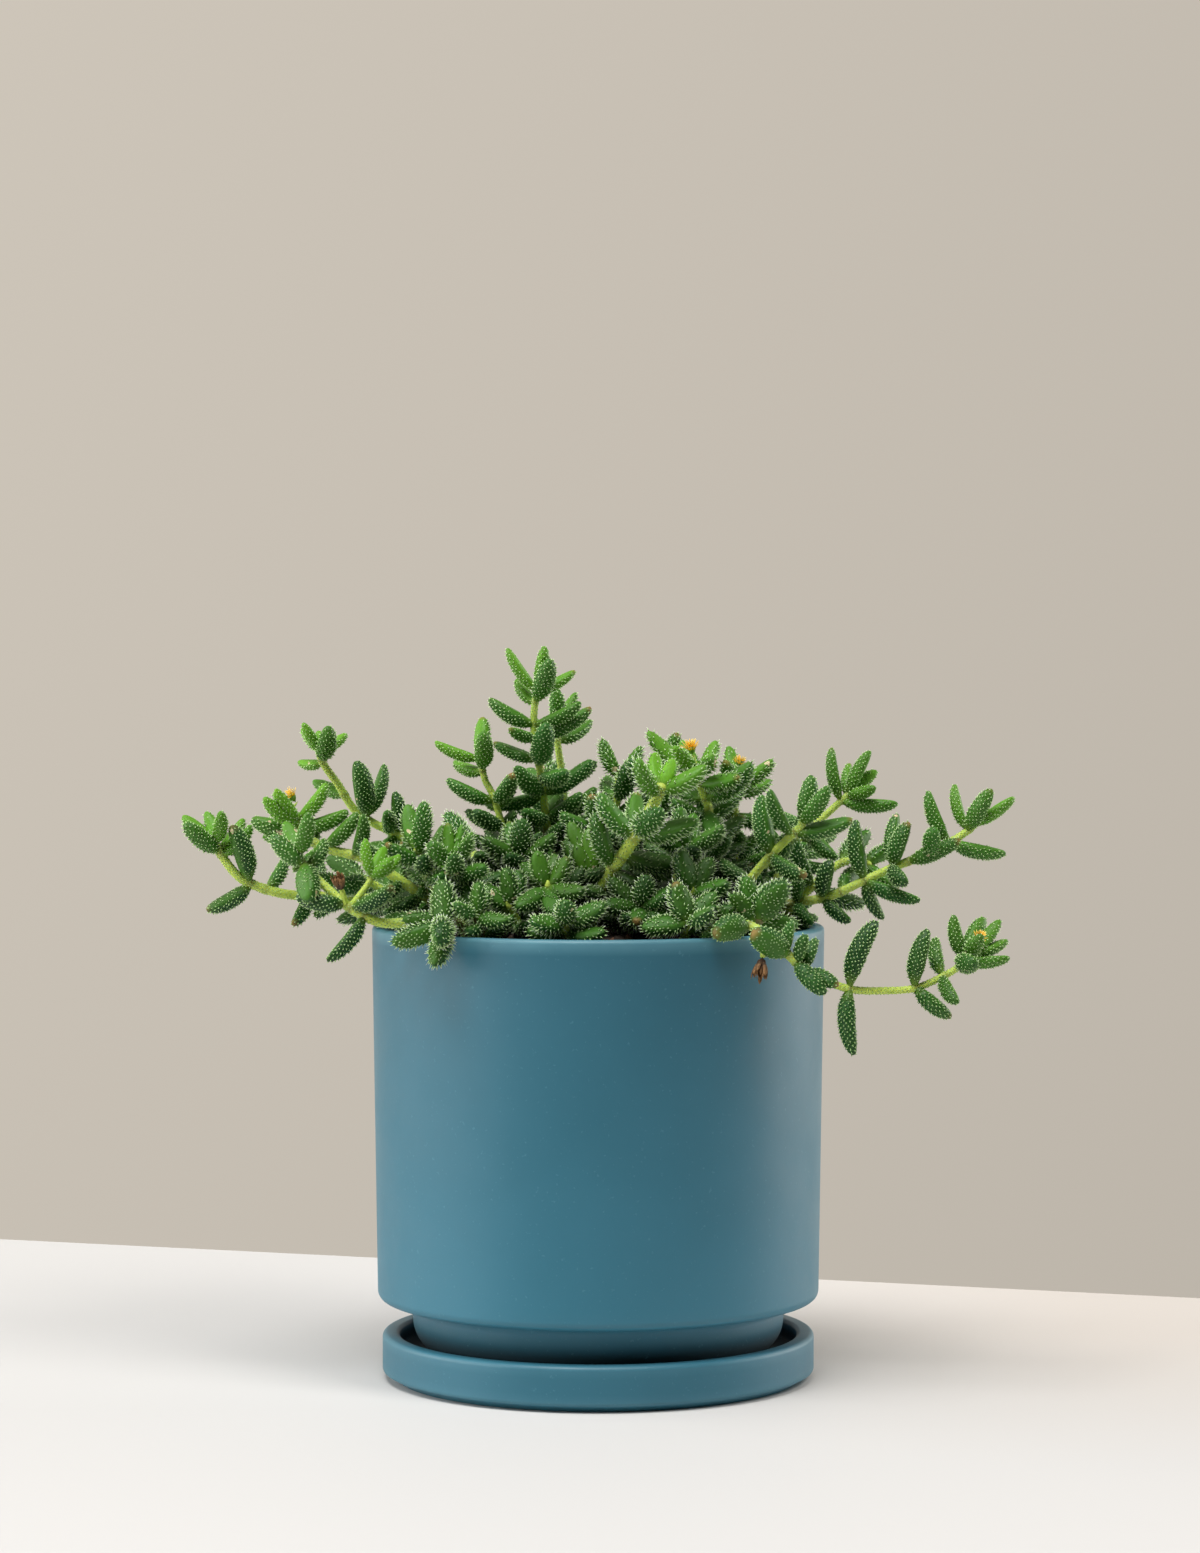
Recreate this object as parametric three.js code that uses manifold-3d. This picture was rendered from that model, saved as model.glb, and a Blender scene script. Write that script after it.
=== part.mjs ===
// A potted pickle plant: a bristly-leaved succulent in a glazed pot on its own saucer.
// Millimetres, +Z up. The origin is the centre of the saucer's flat underside and -Y is the front.
import * as THREE from 'three';
import { mergeVertices } from 'three/addons/utils/BufferGeometryUtils.js';
import Module from 'manifold-3d';

const wasm = await Module();
wasm.setup();

// Vessel sizes. A round section is a ring of ROUND flat facets.
const ROUND = 32;
const CLEAR = 0.3;
const SAUCER = { foot: 54.3, radius: 57.35, height: 12.1, wall: 4.6, floor: 6, well: 49 };
const POT = { rim: 60, top: 120, wall: 3.7, belly: 58.6, underside: 21, footRadius: 48 };
const POT_FLOOR = 13;
const DRAIN_RADIUS = 4;
const SOIL = { edge: 116.5, crown: 121.5, radius: POT.rim - POT.wall - CLEAR };
const HOLE = { depth: 8, sides: 4, room: 0.35 };

// A leaf's outline along its length: [distance along, share of the full half width].
const LEAF_OUTLINE = [[0, 0], [0.3, 0.94], [0.82, 0.88], [1, 0]];
const LEAF = { sides: 4, broadSides: 5, broad: 5.4, flatness: 0.85, bow: 0.13, sunk: 1.5, behind: 0.2 };
const STEM = { sides: 4, taper: 0.72, step: 8 };
const PETAL = { sides: 3, width: 1.5, flatness: 0.6, spread: 0.3 };
const SPACE = 0.4;
const BALLS = 8;

// Shoots as they stand in the pot. "root" is the hole in the soil [x, y], "stem" the points that the
// stem then passes, "thick" its radius at the root. A leaf is [share of the way up the stem,
// reach to its tip in x, y and z, width].
const SHOOTS = [
  {"name": "shoot_tall", "thick": 1.3, "root": [-13, 10],
   "stem": [[-13, 9, 125], [-13.5, 8, 143], [-14.5, 7, 153], [-15.5, 6, 161], [-17, 5, 169.5],
            [-17, 4, 177.5], [-16, 3, 183]],
   "leaves": [[1, -8, 0, 11.5, 3.6], [1, 2, -3, 12, 3.4], [0.9, 4, -6, 11.5, 5.2], [1, 10, 3, 5.5, 3.4],
              [0.89, -5, 6, 6.5, 3.6], [0.78, -12, -1, 7, 4.8], [0.78, 12.5, -3, 6, 4.4],
              [0.72, 15, 2, 8, 4.6], [0.72, -6.5, -8.5, 2.5, 3.8], [0.6, 2, -10, 11, 6],
              [0.62, -12, 4, 4.5, 4], [0.46, -7, -8, 7.5, 5.2], [0.46, 13, 0, 9, 5],
              [0.46, -14, 1, -3, 4.6], [0.54, 6.5, -12, 1.5, 5.6], [0.3, 6, -10, 5, 5], [0.3, -6, 9, 6, 4.6]]},
  {"name": "shoot_tall_back", "thick": 1.3, "root": [-5, 24],
   "stem": [[-6, 23, 128], [-8.5, 20, 139], [-9, 20, 148.5], [-10, 19, 160.5], [-11, 18, 168.5],
            [-11, 18, 173.5]],
   "leaves": [[1, -0.5, -3, 10.5, 4.2], [1, 5, 3, 9, 3.6], [0.84, 9, 8, 5.5, 4.2], [0.84, -6, 10, 5.5, 4.2],
              [0.64, 9, 11, 4.5, 4.6], [0.64, -9.5, 11, 2.5, 4.6], [0.44, 4, 13, 3, 4.8],
              [0.3, 12, 8, 2, 4.8]]},
  {"name": "shoot_thin_left", "thick": 1.2, "root": [-22, 2],
   "stem": [[-22, 1, 124], [-23, 0, 132], [-24.5, 0, 140], [-25.5, 0, 146.5], [-28, 0, 154.5],
            [-30, 0, 158.5], [-31, 0, 162.5], [-31.5, 0, 165]],
   "leaves": [[0.61, -12.5, 0, 6, 4.8], [0.61, 6, -4.5, 9, 4.6], [1, -12, 0, 4.5, 3.8], [0.85, 0.5, -8, 10, 4.8],
              [1, 0.5, 5, 11, 4.2], [0.82, -8, 8.5, 2.5, 3.8], [0.38, 8, 9.5, 4.5, 4.4],
              [0.38, -8, -9, -1, 4.6]]},
  {"name": "shoot_left_upper", "thick": 1.4, "root": [-33, 18],
   "stem": [[-37, 17, 125], [-45.5, 14, 134], [-53, 12, 143], [-60, 11, 146.5], [-65.5, 10, 150.5],
            [-69.5, 8, 157], [-73.5, 6, 163], [-74.5, 5, 167]],
   "leaves": [[0.9, 2, -7.5, 9, 5.4], [1, 7, 4, 4.5, 3.4], [0.98, -4, -5, 7.5, 3.2], [1, -5, 4.5, 6, 3],
              [0.95, -1, 6.5, 6, 3.2], [0.88, -7, 6, 0, 3.2], [0.56, -2, -7, 15, 6.4],
              [0.56, 5, 4, 14, 4.6], [0.44, 0, -11, 5, 4.4], [0.7, -9, 8, 3.5, 4], [0.4, -4, 12, 4, 4.6]]},
  {"name": "shoot_left_flower", "thick": 1.6, "root": [-33, -11],
   "stem": [[-37, -13, 124], [-45, -18, 128.5], [-55.5, -20, 135.5], [-62, -20, 139], [-71.5, -20, 141.5],
            [-77, -20, 145.5], [-80, -20.5, 150.5]],
   "leaves": [[0.9, -11, -1, 8, 4], [0.9, -8, 4, 10, 3.8], [0.93, -5, -7, 9, 3.4], [0.84, -14, 0, 4, 5.8],
              [0.8, -13, 5, 0.5, 4.2], [0.76, -6, 10, 7, 4.2], [0.94, 8, 1, 10, 4.2], [0.72, 9, 0, 9, 4.6],
              [0.6, 3, -8, 11, 4.4], [0.44, -6, -10, 7, 4.4], [0.72, -7, -11, -5, 4.8], [0.9, 12.5, 4, 4, 4.8]]},
  {"name": "shoot_left_middle", "thick": 1.3, "root": [-37, -19],
   "stem": [[-38.5, -20, 124], [-42, -23, 130], [-46, -26, 138], [-47, -27, 142]],
   "leaves": [[0.92, 1.5, -5, 13.5, 5.2], [0.95, -3, 5, 12, 4.6], [0.8, 8, 6, 6, 4.6], [0.8, -9, -5, 5, 4.8],
              [0.62, 4, -12, 1, 5], [0.62, -6, 9, -1, 4.6]]},
  {"name": "shoot_left_rosette", "thick": 1.3, "root": [-28, -23],
   "stem": [[-31, -26, 125], [-36, -30, 133], [-38.5, -31.5, 139]],
   "leaves": [[0.96, -5, -6, 6, 4.5], [0.96, 5, -5, 7.5, 4.5], [1, -1, 2, 10.5, 3.8], [1, 3, 1, 10, 3.8],
              [0.98, 5.5, 4, 8, 3.8], [0.8, -3, -9, -6, 4.8], [0.8, 8, -8, 2, 5.2], [0.6, 11, 2, 4, 4.6]]},
  {"name": "shoot_left_low", "thick": 1.5, "root": [-38, -27],
   "stem": [[-40.5, -30.5, 122.2], [-44.5, -36.5, 123.8], [-50, -40.5, 123.2], [-56.5, -41, 123.5], [-63.5, -40, 127],
            [-70, -38, 132.5], [-75.5, -36, 137.5], [-77.5, -35, 141.5]],
   "leaves": [[0.64, -13, -1, 2, 4.8], [0.62, 11, -9, 6, 4.8], [0.98, 3, -6.5, 11, 4.4], [0.88, -8.5, 0, 8, 4.8],
              [0.86, 4, 9, 7, 4.4], [0.9, 2, -9, -9, 6.2], [0.56, -9, -7, -11, 4.4], [0.98, -4, 7, 8, 3.8]]},
  {"name": "shoot_left_young", "on": "shoot_left_low", "thick": 1, "root": [-63.5, -40],
   "stem": [[-63.5, -40, 127], [-60, -39, 131.5], [-57, -38.5, 136]],
   "leaves": [[0.84, 5.5, -3, 5.5, 3.4], [1, -1.5, -2, 10, 3.4], [1, 7, 4, 5.5, 3.4], [1, 3, 6, 7.5, 3.6]]},
  {"name": "shoot_left_rim", "thick": 1.5, "root": [-33, -36],
   "stem": [[-34.5, -39, 122.2], [-37, -44.5, 123.8], [-40, -50, 122.5]],
   "leaves": [[0.96, -0.5, 2, 12, 6], [0.98, -1, -12.5, -2.5, 6.2], [0.96, -2, -8, -9, 5.6],
              [0.9, -13, -3, -4, 5]]},
  {"name": "shoot_rim_young", "thick": 1.1, "root": [-29, -42],
   "stem": [[-30, -43.5, 121.8], [-32, -46.5, 127]],
   "leaves": [[0.95, 1, -2, 8.5, 4], [0.9, 8.5, -4, -1, 4], [0.9, -6, -4, 4.5, 3.8], [0.95, 3, 5, 7, 3.6]]},
  {"name": "shoot_far_left", "thick": 1.6, "root": [-42, 10],
   "stem": [[-45, 10.5, 122.8], [-53, 10, 124.8], [-59.5, 6, 126.5], [-71.5, 0, 127.5], [-83, -4, 128.5],
            [-91, -6, 131], [-95.5, -8, 134], [-99.5, -9, 139.5], [-101, -10, 143]],
   "leaves": [[0.7, -4, -6, 15, 6.4], [0.68, -12, 0, -7, 4.8], [0.9, -8.5, -6, 8, 5.2], [0.98, -9, 4, 7, 3.8],
              [0.98, 2, -7, 8.5, 4], [0.92, 6, 6, 8, 3.8], [0.88, 8, -1, 8, 4], [1, -3, 5, 8, 3.4],
              [0.5, 3, 11, 8.5, 4.4], [0.5, -3, -10.5, -7, 4.4], [0.62, 4, 10, 8, 4.2]]},
  {"name": "shoot_centre_front", "thick": 1.6, "root": [-2, -22],
   "stem": [[-1.5, -24, 124], [-0.5, -28, 128.5], [1.5, -31, 133], [4, -33, 137], [6.5, -35, 140.5],
            [10, -39, 146], [13.5, -42, 152.5], [15.5, -43, 156.5], [16.5, -44, 159]],
   "leaves": [[0.45, -4.5, -5, 14.5, 5.4], [0.44, 13, -2, -6.5, 5.4], [0.44, -11.5, 8, -3, 4.8],
              [0.65, -9, -2, 11, 5.4], [0.65, 16, 0, 4, 5.4], [0.67, 6, -12, 6.5, 5.8],
              [0.88, -5, -6, 9.5, 5], [0.92, 12, 0, 6.5, 4.8], [1, -1.5, 7, 8.5, 4.2], [1, 3, 3, 7, 3.6],
              [0.54, 15.5, 7, -2.5, 5.8], [0.67, 0, 10, 10, 4.6]]},
  {"name": "shoot_centre_low", "thick": 1.3, "root": [-12, -30],
   "stem": [[-12, -31.5, 124], [-12, -35, 128.5], [-13, -39, 134]],
   "leaves": [[1, -3, -1, 9, 4.4], [1, 5, -1, 7.5, 4.4], [0.95, -7, 8, 5.5, 4.6], [0.88, -8, -8, -4.5, 5],
              [0.88, 2, -10, -6, 5.2], [0.9, 9, -8, -0.5, 4.6], [1, 1.5, 6, 8, 3.8], [0.6, -8, 9, 3, 4.4]]},
  {"name": "shoot_centre_middle", "thick": 1.3, "root": [4, -14],
   "stem": [[2.8, -16, 125], [-0.5, -21, 131], [-2, -24, 135.5]],
   "leaves": [[0.85, -13, -5, -2, 5.6], [0.9, -4, -4, 7.5, 4.4], [1, -3.5, -11, 5, 5.6], [1, -1, 0, 12.5, 4.4],
              [1, -6, 4, 14, 4.8], [0.95, 5, 9, 6, 4.4], [0.7, 8, -9, -2, 4.6]]},
  {"name": "shoot_front_left", "thick": 1.2, "root": [-8, -44],
   "stem": [[-8, -45.5, 121.5], [-8.5, -49, 125]],
   "leaves": [[0.95, 10, -1, 5, 5], [0.95, -10, -3, 1.5, 4.8], [0.95, 0.5, -7, 6, 4.8], [0.85, -3, 7, 7, 4.4],
              [0.4, 11, -3, 0.5, 5], [0.4, -10, -2, 0.5, 4.8]]},
  {"name": "shoot_front_right", "thick": 1.2, "root": [22, -43],
   "stem": [[22.5, -44.5, 121.5], [23.5, -48.5, 125.5]],
   "leaves": [[0.95, -12, -2, -1.5, 5.2], [0.95, 5, -8, 3, 4.6], [1, -3.5, -1, 10, 5.6], [0.9, 7, 3, 7, 4.6],
              [0.4, 10, -3, 0.5, 5]]},
  {"name": "shoot_low_left", "thick": 1.2, "root": [-20, -34],
   "stem": [[-21, -35.5, 124], [-23.5, -38.5, 128.5]],
   "leaves": [[1, -1, -1, 10, 4.4], [0.95, -8, -4, 5, 4.8], [0.95, 7, -5, 4.5, 4.8], [0.85, -2, -10, -1, 5],
              [0.9, 3, 7, 6.5, 4.4]]},
  {"name": "shoot_low_centre", "thick": 1.2, "root": [10, -32],
   "stem": [[10.5, -34, 124], [11, -38, 129]],
   "leaves": [[0.95, 8, -7, -4, 5.6], [0.95, -9, -6, 0.5, 5.2], [1, 2, -4, 9.5, 4.8], [1, -4, 4, 9, 4.6],
              [0.9, 9, 5, 5, 4.8], [0.8, -1, -11, -3, 5], [0.3, -3, -12, -1.5, 5], [0.3, -11, -4, -1, 5]]},
  {"name": "shoot_low_right", "thick": 1.2, "root": [22, -27],
   "stem": [[23, -29.5, 125], [24.5, -34, 132]],
   "leaves": [[1, -3, -2, 11, 5.6], [0.95, -10, -5, 2, 5.2], [0.95, 9, -6, 3, 5], [1, 5, 3, 9, 4.8],
              [0.8, -2, -11, -4, 5.2], [0.8, 6, 9, 2, 4.8]]},
  {"name": "shoot_middle_right", "thick": 1.3, "root": [17, -12],
   "stem": [[18.5, -14.5, 127], [22, -19, 138], [23.5, -21, 142]],
   "leaves": [[1, -2, -3, 11, 5.2], [0.95, 9, -6, 6, 5.2], [0.95, -9, -5, 5, 5], [0.95, 2, 7, 9, 4.6],
              [0.7, 3, -12, 0, 5.2], [0.7, -10, 5, 4, 4.8], [0.5, 10, -4, -2, 5]]},
  {"name": "shoot_middle_left", "thick": 1.3, "root": [-17, -10],
   "stem": [[-18, -13, 127], [-20, -19, 136], [-20.5, -21, 140]],
   "leaves": [[1, 1, -4, 10, 5.2], [0.95, -9, -5, 5, 5], [0.95, 9, -4, 6, 5], [0.95, -3, 6, 9, 4.6],
              [0.7, -3, -12, 0, 5.2], [0.7, 8, 8, 4, 4.8], [0.5, -9, 6, -1, 5]]},
  {"name": "shoot_middle", "thick": 1.3, "root": [6, 2],
   "stem": [[5, 0, 128], [1, -4, 141], [0, -5, 146]],
   "leaves": [[1, -2, -5, 10, 5], [0.95, 10, -2, 6, 5], [0.95, -10, -3, 5, 5], [0.95, 2, 8, 8, 4.6],
              [0.72, 2, -12, 3, 5.2], [0.72, 9, 8, 2, 4.8], [0.5, -11, 2, 2, 5], [0.5, 10, -7, 0, 5]]},
  {"name": "shoot_top_right", "thick": 1.4, "root": [26, 1],
   "stem": [[26.5, 0, 124], [27, 0, 132], [28.5, 0, 140], [29.5, -2, 149.5], [27.5, -5, 156],
            [26, -8, 160], [25, -9, 164]],
   "leaves": [[0.86, -13, 0, 11.5, 4.4], [0.9, -7, -6, 8, 3.6], [0.9, 4, -8, 4, 4.8], [0.78, 10, -8, 2, 4.6],
              [0.66, 12, -7, 9.5, 6.2], [0.6, 3, -11, -7, 5], [0.48, -6.5, -10, 5, 4.4], [0.84, 5, 7, 9.5, 4],
              [0.66, -10, 10, 5, 4.6], [0.86, -4, 6, 9, 3.8], [0.48, 8, 11, 4, 4.6]]},
  {"name": "shoot_top_right_back", "thick": 1.2, "root": [35, 14],
   "stem": [[36, 13, 130], [37, 12, 143.5], [36.5, 10, 153], [37, 8, 160]],
   "leaves": [[0.86, -3, -11, 7.5, 4.4], [0.88, -1.5, 7, 10.5, 4], [0.88, 10, -2, 7, 4.4], [0.82, 10, 9, 3, 4],
              [0.64, -8, 10, 3, 4.4], [0.64, 8, -11, -1.5, 4.8], [0.46, -2, 13, 3, 4.6]]},
  {"name": "shoot_right_up", "thick": 1.4, "root": [34, -12],
   "stem": [[35, -13.2, 123], [36.5, -15, 127], [39, -18, 132], [44, -20, 138.5], [50, -22, 144.5],
            [52.5, -23, 147], [53.5, -23, 149.5]],
   "leaves": [[0.6, -2.5, 0, 15.5, 5.8], [0.76, -6, -5, 12, 4.4], [0.6, 8.5, -10, -5, 5.2], [0.94, 2.5, 0, 12, 4.6],
              [0.9, 7, -5, 10, 4.4], [0.78, 15, 0, 3.5, 4.8], [0.76, -3, 11, -7, 4.8], [0.45, -8, 10, 5, 4.4]]},
  {"name": "shoot_right_back", "thick": 1.3, "root": [43, 12],
   "stem": [[44.5, 13, 123], [48, 14, 131.5], [54.5, 16, 143], [60, 16, 147.5], [65, 16, 152], [68, 16, 154.5]],
   "leaves": [[0.86, -2.5, 0, 14.5, 4], [0.86, 15, -4, -0.5, 4.4], [1, 6, 0, 12, 4.2], [1, 8, 4, 6.5, 3.6],
              [0.96, 1, 7, 8.5, 3.6], [0.58, -7, 10, 3.5, 4.4], [0.58, 7, -7, -8, 4.6], [0.96, 7, -6.5, 2.5, 3.6]]},
  {"name": "shoot_right_long", "thick": 1.4, "root": [41, 2],
   "stem": [[43, 1.4, 122], [47, 0, 124.7], [53, -2.5, 126.2], [60, -4, 127.5], [65, -5, 129.5], [71, -6, 132.5],
            [77.5, -7, 135.5], [86, -8, 139], [93, -8, 142.5], [97.5, -8, 145.5], [99.5, -8, 147.5]],
   "leaves": [[0.36, 2, -4, 10, 5.2], [0.36, 7, -5, -6, 4], [0.54, -2.5, 0, 16, 5.2], [0.54, 14, -5.5, -5, 4.6],
              [0.54, 5, 3, -10.5, 4.2], [0.64, 4, -2, 12, 5.2], [0.64, 1.5, 6, 14, 4.4], [0.68, 13.5, -6, 6, 4.2],
              [0.64, 2.5, -12.5, -3, 4.8], [0.82, -5.5, 0, 13.5, 4.6], [0.82, 15, 0, -3, 4.8],
              [0.92, -3, 4, 12, 3.8], [0.92, 6, -5, 11, 4.8], [0.97, 11, 0, 7.5, 3.8], [0.76, -0.5, -10.5, 6, 5.4],
              [0.44, 6, 10, 6, 4.6]]},
  {"name": "shoot_right_rim", "thick": 1.5, "root": [36, -28],
   "stem": [[37.5, -30.5, 121.5], [40, -37, 123.8], [41.5, -43, 123.8]],
   "leaves": [[0.98, 6.5, -5, 10, 6.8], [0.95, -8, -8, 0, 6], [0.95, -3.5, -1, 11.5, 4.8], [0.9, 2, 7, 9, 4.8],
              [0.8, 11, 3, -1, 4.8], [0.85, -7, -6, 7, 4]]},
  {"name": "shoot_right_trail", "thick": 1.25, "root": [27, -40],
   "stem": [[28.5, -41.5, 121.5], [34.5, -47.5, 123.8], [41, -51.5, 122], [46, -54, 118], [50, -54, 114],
            [53.5, -52, 111.5], [59, -49, 108.5], [65, -46, 106.5], [72.5, -43, 106], [81, -41, 106.5],
            [88.5, -39, 109.5], [93.5, -37, 112.5], [97, -36, 117]],
   "leaves": [[0.6, 7, 0, 17, 5.6], [0.6, 1, -2, -17, 5], [0.77, 3.5, 0, 14.5, 5.2], [0.77, 9.5, 0, -8, 4.6],
              [0.93, 2, -12, 1, 5.4], [0.94, -3, -1, 11.5, 4.2], [0.95, 5, -6, 8, 3.8], [0.95, 6, 5, 11, 4.2],
              [0.95, 11, -1, 9, 3.6], [0.95, 11, 5, 4, 3.6], [0.93, 12, 0, 1, 3.6], [0.85, 3, -10, -6, 4.2],
              [0.85, -1, 9, 9, 4.4], [0.2, -9, -7, -1.5, 6.4], [0.35, -10.5, -7, 3, 6.8], [0.34, 1.5, -2, 8.5, 3.6],
              [0.4, 2, -3, 7.5, 3.8], [0.44, 3, 3, 7.5, 3.6], [0.38, 7.5, -4.5, -8, 4.4], [0.46, 7, -6, -3, 4]]},
];

// Flowers [node, shoot, share up the stem, reach of the stalk in x, y and z, length, number of petals].
// Spent ones have shrivelled to a brown cup.
const BLOOMS = [
  ["bloom_left", "shoot_left_flower", 1, -1, 0, 1.2, 4, 8],
  ["bloom_top", "shoot_top_right", 1, -0.2, -0.4, 1.2, 4.5, 8],
  ["bloom_back", "shoot_top_right_back", 1, 0.3, -0.3, 1.2, 3.6, 8],
  ["bloom_trail", "shoot_right_trail", 1, 0.3, -0.8, 0.9, 3.4, 8],
  ["spent_bloom_left", "shoot_left_low", 0.64, -1, -3.4, 4, 4.5, 5],
  ["spent_bloom_right", "shoot_right_trail", 0.25, -1, -4, -5.5, 5.5, 5],
];

// The shoots that the front ones hide fan out over the back of the pot, and low ones fill the gaps
// between the others.
const BACK = { count: 11, seed: 20417, from: -0.15, to: Math.PI + 0.15, golden: 0.618034 };
const LOW = { tries: 40, radius: 47, apart: 11.5 };
// Each pair of leaves: [share of the way up, angle from the stem, length, width].
const BACK_PAIRS = [[0.5, 1.15, 15.5, 5.2], [0.74, 0.9, 14, 5], [0.94, 0.5, 11.5, 4.4]];
const LOW_PAIRS = [[0.45, 1.2, 14, 4.9], [0.75, 0.95, 13, 4.9], [0.95, 0.5, 11, 4.7]];

const COLOURS = {
  pot: 0x1f6f7c, soil: 0x2b1d14, leaf: 0x4f7a2c, bloom: 0xe3c43e, spent: 0x6b4a2b,
};

const vector = (p) => new THREE.Vector3(p[0], p[1], p[2]);

// A closed geometry as a solid: shared vertices merged, collapsed triangles dropped.
function solidOf(geometry) {
  geometry.deleteAttribute('normal');
  geometry.deleteAttribute('uv');
  const merged = mergeVertices(geometry, 1e-5);
  const index = merged.index.array;
  const kept = [];
  for (let i = 0; i < index.length; i += 3) {
    const [a, b, c] = [index[i], index[i + 1], index[i + 2]];
    if (a !== b && b !== c && c !== a) kept.push(a, b, c);
  }
  const mesh = new wasm.Mesh({
    numProp: 3,
    vertProperties: new Float32Array(merged.attributes.position.array),
    triVerts: new Uint32Array(kept),
  });
  return new wasm.Manifold(mesh);
}

function geometryOf(solid) {
  const mesh = solid.getMesh();
  const geometry = new THREE.BufferGeometry();
  geometry.setAttribute('position', new THREE.BufferAttribute(new Float32Array(mesh.vertProperties), 3));
  geometry.setIndex(new THREE.BufferAttribute(new Uint32Array(mesh.triVerts), 1));
  geometry.computeVertexNormals();
  return geometry;
}

// A profile of [radius, height] points, from the axis back to the axis, turned round +Z.
function turned(profile, sides = ROUND) {
  const points = profile.map(([r, z]) => new THREE.Vector2(r, z));
  return new THREE.LatheGeometry(points, sides).rotateX(Math.PI / 2);
}

// Points of a quarter round from angle a to angle b about a centre.
function rounded(r, z, radius, a, b, steps) {
  return Array.from({ length: steps + 1 }, (_, i) => {
    const angle = a + ((b - a) * i) / steps;
    return [r + radius * Math.cos(angle), z + radius * Math.sin(angle)];
  });
}

function saucerSolid() {
  const { foot, radius, height, wall, floor, well } = SAUCER;
  const edge = 1.2;
  const inner = radius - wall;
  return solidOf(turned([
    [0, 0],
    [foot, 0],
    [radius - 0.4, 1.6],
    ...rounded(radius - edge, height - edge, edge, 0, Math.PI / 2, 2),
    ...rounded(inner + edge, height - edge, edge, Math.PI / 2, Math.PI, 2),
    [inner - 0.9, floor + 1.4],
    [well, floor],
    [0, floor],
  ]));
}

function potSolid() {
  const { rim, top, wall, belly, underside, footRadius } = POT;
  const corner = 4;
  const lip = 1.4;
  const inner = rim - wall;
  const recess = SAUCER.floor + 3;
  return solidOf(turned([
    [DRAIN_RADIUS, recess],
    [footRadius - 6, recess],
    [footRadius - 6, SAUCER.floor],
    [footRadius, SAUCER.floor],
    [footRadius + 1.5, underside],
    ...rounded(belly - corner, underside + corner, corner, -Math.PI / 2, 0, 3),
    ...rounded(rim - lip, top - lip, lip, 0, Math.PI / 2, 2),
    [inner + 0.6, top],
    [inner, top - 1],
    [inner, underside + 9],
    [inner - 3, underside + 4.5],
    [footRadius - 4.5, POT_FLOOR],
    [DRAIN_RADIUS, POT_FLOOR],
    [DRAIN_RADIUS, recess],
  ]));
}

// Height of the soil at a distance from the pot's axis: a shallow mound.
function soilTop(distance) {
  return SOIL.crown - (SOIL.crown - SOIL.edge) * (distance / SOIL.radius) ** 2;
}

function soilSolid(shoots) {
  const { radius } = SOIL;
  const { underside, footRadius } = POT;
  const rings = [1, 0.6];
  let soil = solidOf(turned([
    [0, POT_FLOOR],
    [footRadius - 4.5 - CLEAR, POT_FLOOR],
    [radius - 3, underside + 4.5 + CLEAR],
    [radius, underside + 9],
    ...rings.map((share) => [radius * share, soilTop(radius * share)]),
    [0, soilTop(0)],
  ]));
  for (const shoot of shoots) {
    const floor = soilTop(Math.hypot(...shoot.root)) - HOLE.depth;
    const mouth = SOIL.crown + 4;
    const hole = (shoot.thick + HOLE.room) / Math.cos(Math.PI / HOLE.sides);
    const drill = turned([[0, floor - CLEAR], [hole, floor - CLEAR], [hole, mouth], [0, mouth]], HOLE.sides);
    soil = soil.subtract(solidOf(drill.translate(shoot.root[0], shoot.root[1], 0)));
  }
  return soil;
}

// A turned profile of [share of the length, radius] points carried along a curve. "across" is the
// section's first axis at the start, and the second axis is scaled by "flatness".
function carried(curve, profile, sides, across, flatness = 1) {
  const points = profile.map(([along, radius]) => new THREE.Vector2(radius, along));
  const geometry = new THREE.LatheGeometry(points, sides);
  const position = geometry.attributes.position;
  const stations = profile.map(([along]) => along);
  const side = across.clone();
  const frames = new Map();
  for (const along of stations) {
    const tangent = curve.getTangent(along);
    side.addScaledVector(tangent, -side.dot(tangent)).normalize();
    frames.set(Math.fround(along), [curve.getPoint(along), side.clone(), side.clone().cross(tangent)]);
  }
  for (let i = 0; i < position.count; i += 1) {
    const [centre, first, second] = frames.get(position.getY(i));
    const place = centre.clone()
      .addScaledVector(first, position.getX(i))
      .addScaledVector(second, position.getZ(i) * flatness);
    position.setXYZ(i, place.x, place.y, place.z);
  }
  return solidOf(geometry);
}

// Any direction square to an axis.
function squareTo(axis, hint) {
  const across = hint.clone().cross(axis);
  if (across.length() < 0.25) across.set(0, 1, 0).cross(axis);
  if (across.length() < 0.25) across.set(1, 0, 0).cross(axis);
  return across.normalize();
}

function stemCurve(shoot) {
  const base = shoot.on ? [] : [[...shoot.root, soilTop(Math.hypot(...shoot.root)) + 1.2]];
  const points = [...base, ...shoot.stem].map(vector);
  return new THREE.CatmullRomCurve3(points, false, 'catmullrom', 0.5);
}

function stemRadius(shoot, along) {
  return shoot.thick * (1 - (1 - STEM.taper) * along);
}

function stemSteps(curve) {
  return Math.max(2, Math.round(curve.getLength() / STEM.step));
}

// The middle of the faceted stem, which cuts the corners of its curve.
function middleOfStem(curve, along) {
  const steps = stemSteps(curve);
  const step = Math.min(Math.floor(along * steps), steps - 1);
  return curve.getPoint(step / steps).lerp(curve.getPoint((step + 1) / steps), along * steps - step);
}

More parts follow.
